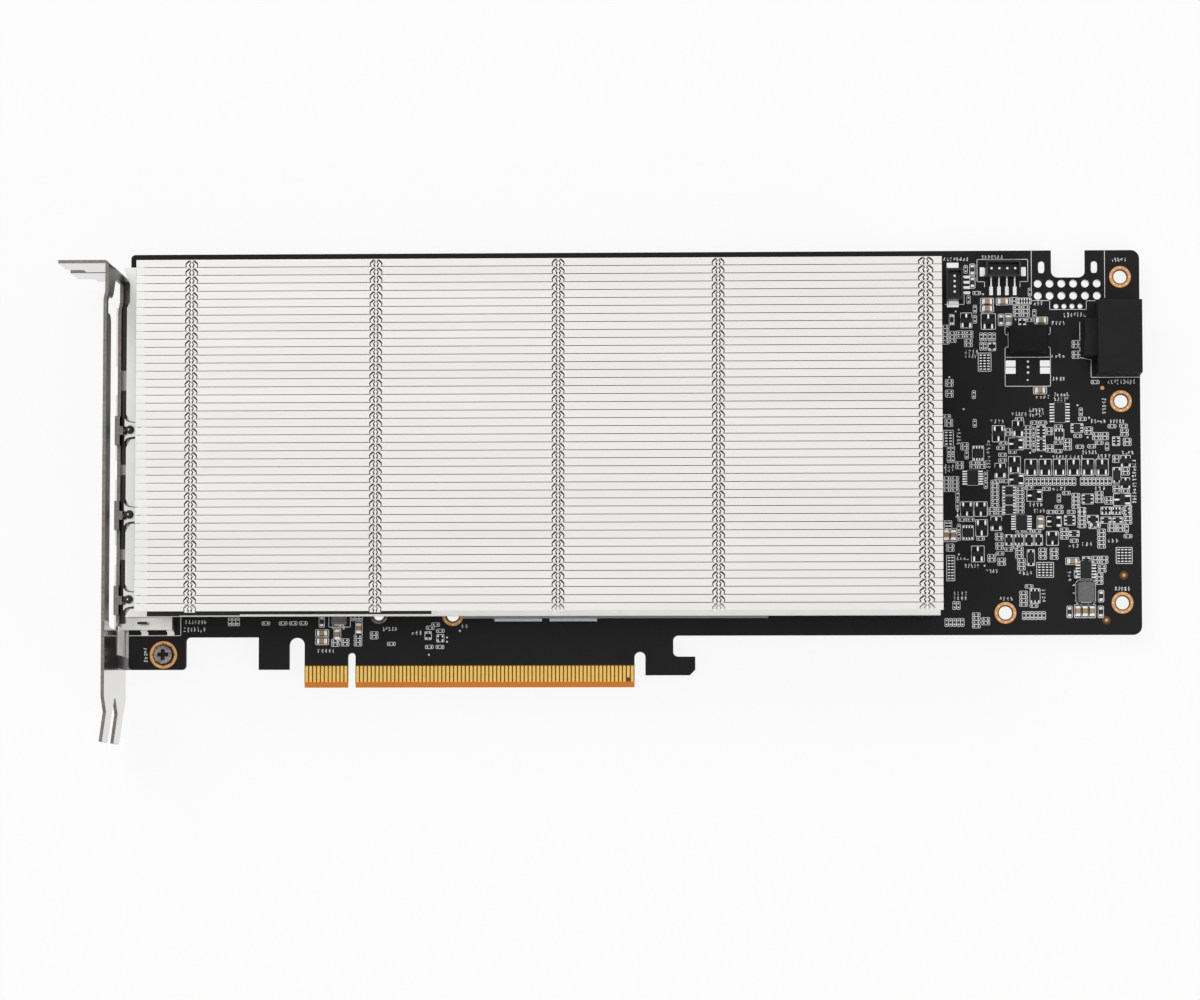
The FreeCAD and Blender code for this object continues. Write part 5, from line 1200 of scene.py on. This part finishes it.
# The slot is a black plate: painted shade for the hollow under it.
carrier_slot = plate_stamp("carrier_slot", 2.5, 0.65, corner=0.12)
stamp(dark_bm, carrier_slot, -52.5, 16.1, carrier_top + 0.01)
make_piece(dark_bm, "dark_marks", [header_black], outward=False)

# %% [markdown]
# Two more kinds of bare metal show in the mask. An empty place for a second power socket leaves its plated
# holes open, each with a thin rim. And small copper dots, each in a window of bare laminate, are fiducials:
# the machine that places the parts looks for them to know where the board lies.

# %% Plated rims of the empty power position
SPARE_X, SPARE_PITCH, SPARE_ROWS = 174.9, 3.0, (102.6, 99.5)
SENSE_X, SENSE_PITCH, SENSE_Y = 179.5, 2.03, 96.8
PEGS = ((175.8, 106.8), (189.2, 106.8))
spare_rim = ring_stamp("spare_rim", 0.88, 0.97, sides=24)
sense_rim = ring_stamp("sense_rim", 0.52, 0.62)
peg_rim = plate_stamp("peg_rim", 1.56, 3.0, corner=0.74, line=0.3)
for column in range(6):
    for y in SPARE_ROWS:
        stamp(pad_bm, spare_rim, SPARE_X + SPARE_PITCH * column, y, PAD)
for column in range(4):
    stamp(pad_bm, sense_rim, SENSE_X + SENSE_PITCH * column, SENSE_Y, PAD)
for x, y in PEGS:
    stamp(pad_bm, peg_rim, x, y, PAD)

# %% Fiducials, a test dot, and the bare edge round the mounting holes
BRACKET_RING, EDGE_LEVEL = 7.05, 0.06
FIDUCIALS, TEST_DOT = ((196.2, 28.2), (191.7, 16.8)), (191.1, 75.9)
window = ring_stamp("fiducial_window", 0.45, 1.05, sides=24)
fiducial = dot_stamp("fiducial", 0.45, sides=16)
hole_edge = ring_stamp("hole_edge", 1.76, 1.98, sides=32)
fiducials = bmesh.new()
for x, y in FIDUCIALS:
    stamp(fiducials, window, x, y, PAD, finish=1)
    stamp(fiducials, fiducial, x, y, PAD)
stamp(fiducials, dot_stamp("test_dot", 0.5, sides=16), *TEST_DOT, PAD)
for low, high in rings:
    if high.x - low.x < BRACKET_RING:
        middle = (low + high) / 2
        stamp(fiducials, hole_edge, middle.x, middle.y, EDGE_LEVEL, finish=1)
make_piece(fiducials, "fiducials", [copper_ring, bare_laminate], outward=False)

# %% [markdown]
# ## Printing
# The pale lines are screen-printed ink: outlines that show where each part goes, and marks beside them. Ink
# is a flat film a few hundredths of a millimetre thick, so faces laid just above the mask are enough. The
# marks beside the parts are plain ticks here, in the size and pitch of such marks.

# %% Straight lines of ink
STROKE_WIDE = 0.15


def ink_line(points):
    """A chain of straight strokes."""
    for (x0, y0), (x1, y1) in zip(points, points[1:]):
        long = math.hypot(x1 - x0, y1 - y0)
        turn = math.degrees(math.atan2(y1 - y0, x1 - x0))
        stroke = plate_stamp("stroke", long + STROKE_WIDE, STROKE_WIDE)
        stamp(ink_bm, stroke, (x0 + x1) / 2, (y0 + y1) / 2, INK, turn)
        bpy.data.meshes.remove(stroke)


STROKES = (
    ((173.3, 101.6), (173.3, 111.0)),
    ((191.9, 99.0), (191.9, 111.0)),
    ((173.3, 98.3), (177.9, 98.3), (177.9, 96.0), (187.2, 96.0), (187.2, 98.2), (189.4, 98.2)),
    ((185.5, 92.7), (185.5, 83.7), (187.6, 83.2), (188.3, 83.2), (188.3, 78.6), (200.5, 78.6)),
    ((166.5, 91.4), (166.5, 89.8), (167.3, 89.4), (167.3, 86.6), (166.5, 86.2), (166.5, 83.8),
     (178.0, 83.8), (178.0, 86.2), (177.2, 86.6), (177.2, 89.4), (178.0, 89.8), (178.0, 91.4)),
    ((166.5, 83.8), (166.5, 76.4), (178.0, 76.4), (178.0, 83.8)),
    ((159.5, 103.2), (159.5, 108.9), (172.4, 108.9), (172.4, 103.2), (170.4, 103.2), (170.4, 101.9)),
    ((159.5, 103.2), (161.4, 103.2), (161.4, 101.9)),
    ((184.7, 20.8), (184.0, 21.5), (184.0, 26.3), (184.7, 27.0), (188.3, 27.0), (189.0, 26.3),
     (189.0, 21.5), (188.3, 20.8), (184.7, 20.8)),
    ((-5.9, 19.5), (-5.9, 15.4), (-0.4, 15.4), (-0.4, 19.5)),
    ((156.2, 100.6), (156.2, 97.4), (151.4, 97.4)),
    ((-57.0, 13.3), (-43.8, 13.3), (-43.8, 18.4)),
)
for points in STROKES:
    ink_line(points)
print(len(STROKES), "chains of strokes")

# %% Marks beside the parts
MARK_PITCH, MARK_SHIFT, MARK_RISE = 0.78, 0.14, 0.3
random.seed(11)
TICKS = [plate_stamp("tick_%d" % number, wide, tall)
         for number, (wide, tall) in enumerate(((0.18, 0.95), (0.46, 0.18), (0.18, 0.5)))]
ticks = 0
for x, y, wide, tall in LABELS:
    along_x = wide >= tall
    length, height = (wide, tall) if along_x else (tall, wide)
    count = max(2, int(length / MARK_PITCH))
    for number in range(count):
        middle = (number + 0.5) * length / count
        for kind in random.sample((0, 1, 1, 2, 2), 3):
            shift = random.uniform(-MARK_SHIFT, MARK_SHIFT)
            rise = random.choice((-MARK_RISE, 0.0, MARK_RISE)) * height if kind else 0.0
            across, up = middle + shift, height / 2 + rise
            if along_x:
                stamp(ink_bm, TICKS[kind], x + across, y + up, INK)
            else:
                stamp(ink_bm, TICKS[kind], x + up, y + across, INK, 90)
            ticks += 1
dot = dot_stamp("ink_dot", 0.24)
for x, y in DOTS:
    stamp(ink_bm, dot, x, y, INK)
print(ticks, "ticks")
make_piece(ink_bm, "printing", [ink], outward=False)
make_piece(pad_bm, "tinned_lands", [tin], outward=False)

# %% [markdown]
# ## Floor, light and camera
# The card lies on a pale floor that runs out to white. Two broad soft lamps and a pale surround light it
# evenly, as in a product studio, and the floor keeps the card's own soft shadow. Where the camera looks
# straight at the floor or at the surround, or sees either mirrored in metal, it finds white; the light that
# falls on the card stays plainer than that.

# %% What is seen straight, mirrored or through glass
def seen_by_eye(owner):
    """1 for the rays of the camera, of a mirror and of glass, 0 for the light that falls on a surface."""
    rays = owner.node_tree.nodes.new("ShaderNodeLightPath").outputs
    either = combine(owner, "MAXIMUM", rays["Is Camera Ray"], rays["Is Glossy Ray"])
    return combine(owner, "MAXIMUM", either, rays["Is Transmission Ray"])


# %% Floor
FLOOR_GLOW, FLOOR_HALF, FLOOR_MIDDLE = 0.88, 3.0, (0.07, 0.05)


def make_floor_finish():
    """Matt for the light that falls on it, and nearly white to the eye."""
    material = bpy.data.materials.new("pale_floor")
    material.use_nodes = True
    nodes, links = material.node_tree.nodes, material.node_tree.links
    shader = nodes["Principled BSDF"]
    shader.inputs["Base Color"].default_value = (0.92, 0.92, 0.92, 1)
    shader.inputs["Roughness"].default_value = 0.9
    shader.inputs["Specular IOR Level"].default_value = 0.0
    glow = nodes.new("ShaderNodeEmission")
    glow.inputs["Color"].default_value = (1, 1, 1, 1)
    share = nodes.new("ShaderNodeMath")
    share.operation = "MULTIPLY"
    share.inputs[1].default_value = FLOOR_GLOW
    links.new(seen_by_eye(material), share.inputs[0])
    mix = nodes.new("ShaderNodeMixShader")
    links.new(share.outputs["Value"], mix.inputs["Fac"])
    links.new(shader.outputs["BSDF"], mix.inputs[1])
    links.new(glow.outputs["Emission"], mix.inputs[2])
    links.new(mix.outputs["Shader"], nodes["Material Output"].inputs["Surface"])
    return material


bm = bmesh.new()
bmesh.ops.create_grid(bm, x_segments=1, y_segments=1, size=FLOOR_HALF)
bmesh.ops.translate(bm, vec=(*FLOOR_MIDDLE, cad_low[2]), verts=bm.verts)
floor_mesh = keep_mesh(bm, "floor")
floor_mesh.materials.append(make_floor_finish())
floor = bpy.data.objects.new("floor", floor_mesh)
bpy.context.scene.collection.objects.link(floor)
print("floor at", round(cad_low[2] / MM, 2), "mm")

# %% Surround
AMBIENT = 0.6
world = bpy.data.worlds.new("studio")
bpy.context.scene.world = world
world.use_nodes = True
nodes, links = world.node_tree.nodes, world.node_tree.links
background = nodes["Background"]
background.inputs["Color"].default_value = (1, 1, 1, 1)
level = nodes.new("ShaderNodeMapRange")
level.inputs["To Min"].default_value = AMBIENT
level.inputs["To Max"].default_value = 1.0
links.new(seen_by_eye(world), level.inputs["Value"])
links.new(level.outputs["Result"], background.inputs["Strength"])

# %% Lamps
card_middle = Vector(((cad_low[0] + cad_high[0]) / 2, (cad_low[1] + cad_high[1]) / 2, 0))


def add_lamp(name, location, size, power):
    """A square lamp that faces the middle of the card."""
    lamp = bpy.data.lights.new(name, "AREA")
    lamp.shape = "SQUARE"
    lamp.size = size
    lamp.energy = power
    stand = bpy.data.objects.new(name, lamp)
    stand.location = location
    stand.rotation_euler = (card_middle - Vector(location)).to_track_quat("-Z", "Y").to_euler()
    bpy.context.scene.collection.objects.link(stand)
    print(name, power, "W")


add_lamp("key_lamp", (-0.7, 1.1, 1.2), 0.8, 9)
add_lamp("fill_lamp", (1.1, -0.9, 1.0), 0.8, 6)

# %% [markdown]
# The camera stands far above the card with a long lens, so that the card shows nearly square. It is turned
# by its own three axes: right, up and backward are worked out from where it looks, and make its rotation.

# %% Camera
STANDS_AT, LOOKS_AT = (0.112, -0.042, 1.214), (0.0633, 0.0477, 0.0)
camera_data = bpy.data.cameras.new("camera")
camera_data.lens = 143.4
camera_data.sensor_width = 36
camera_data.clip_end = 20
camera = bpy.data.objects.new("camera", camera_data)
camera.location = STANDS_AT
aim = (Vector(LOOKS_AT) - camera.location).normalized()
right = aim.cross(Vector((0, 1, 0))).normalized()
camera.rotation_euler = Matrix((right, right.cross(aim), -aim)).transposed().to_euler()
bpy.context.scene.collection.objects.link(camera)
bpy.context.scene.camera = camera
bpy.context.scene.view_settings.view_transform = "Standard"
print("camera", round(camera.location.z, 2), "m above the card")
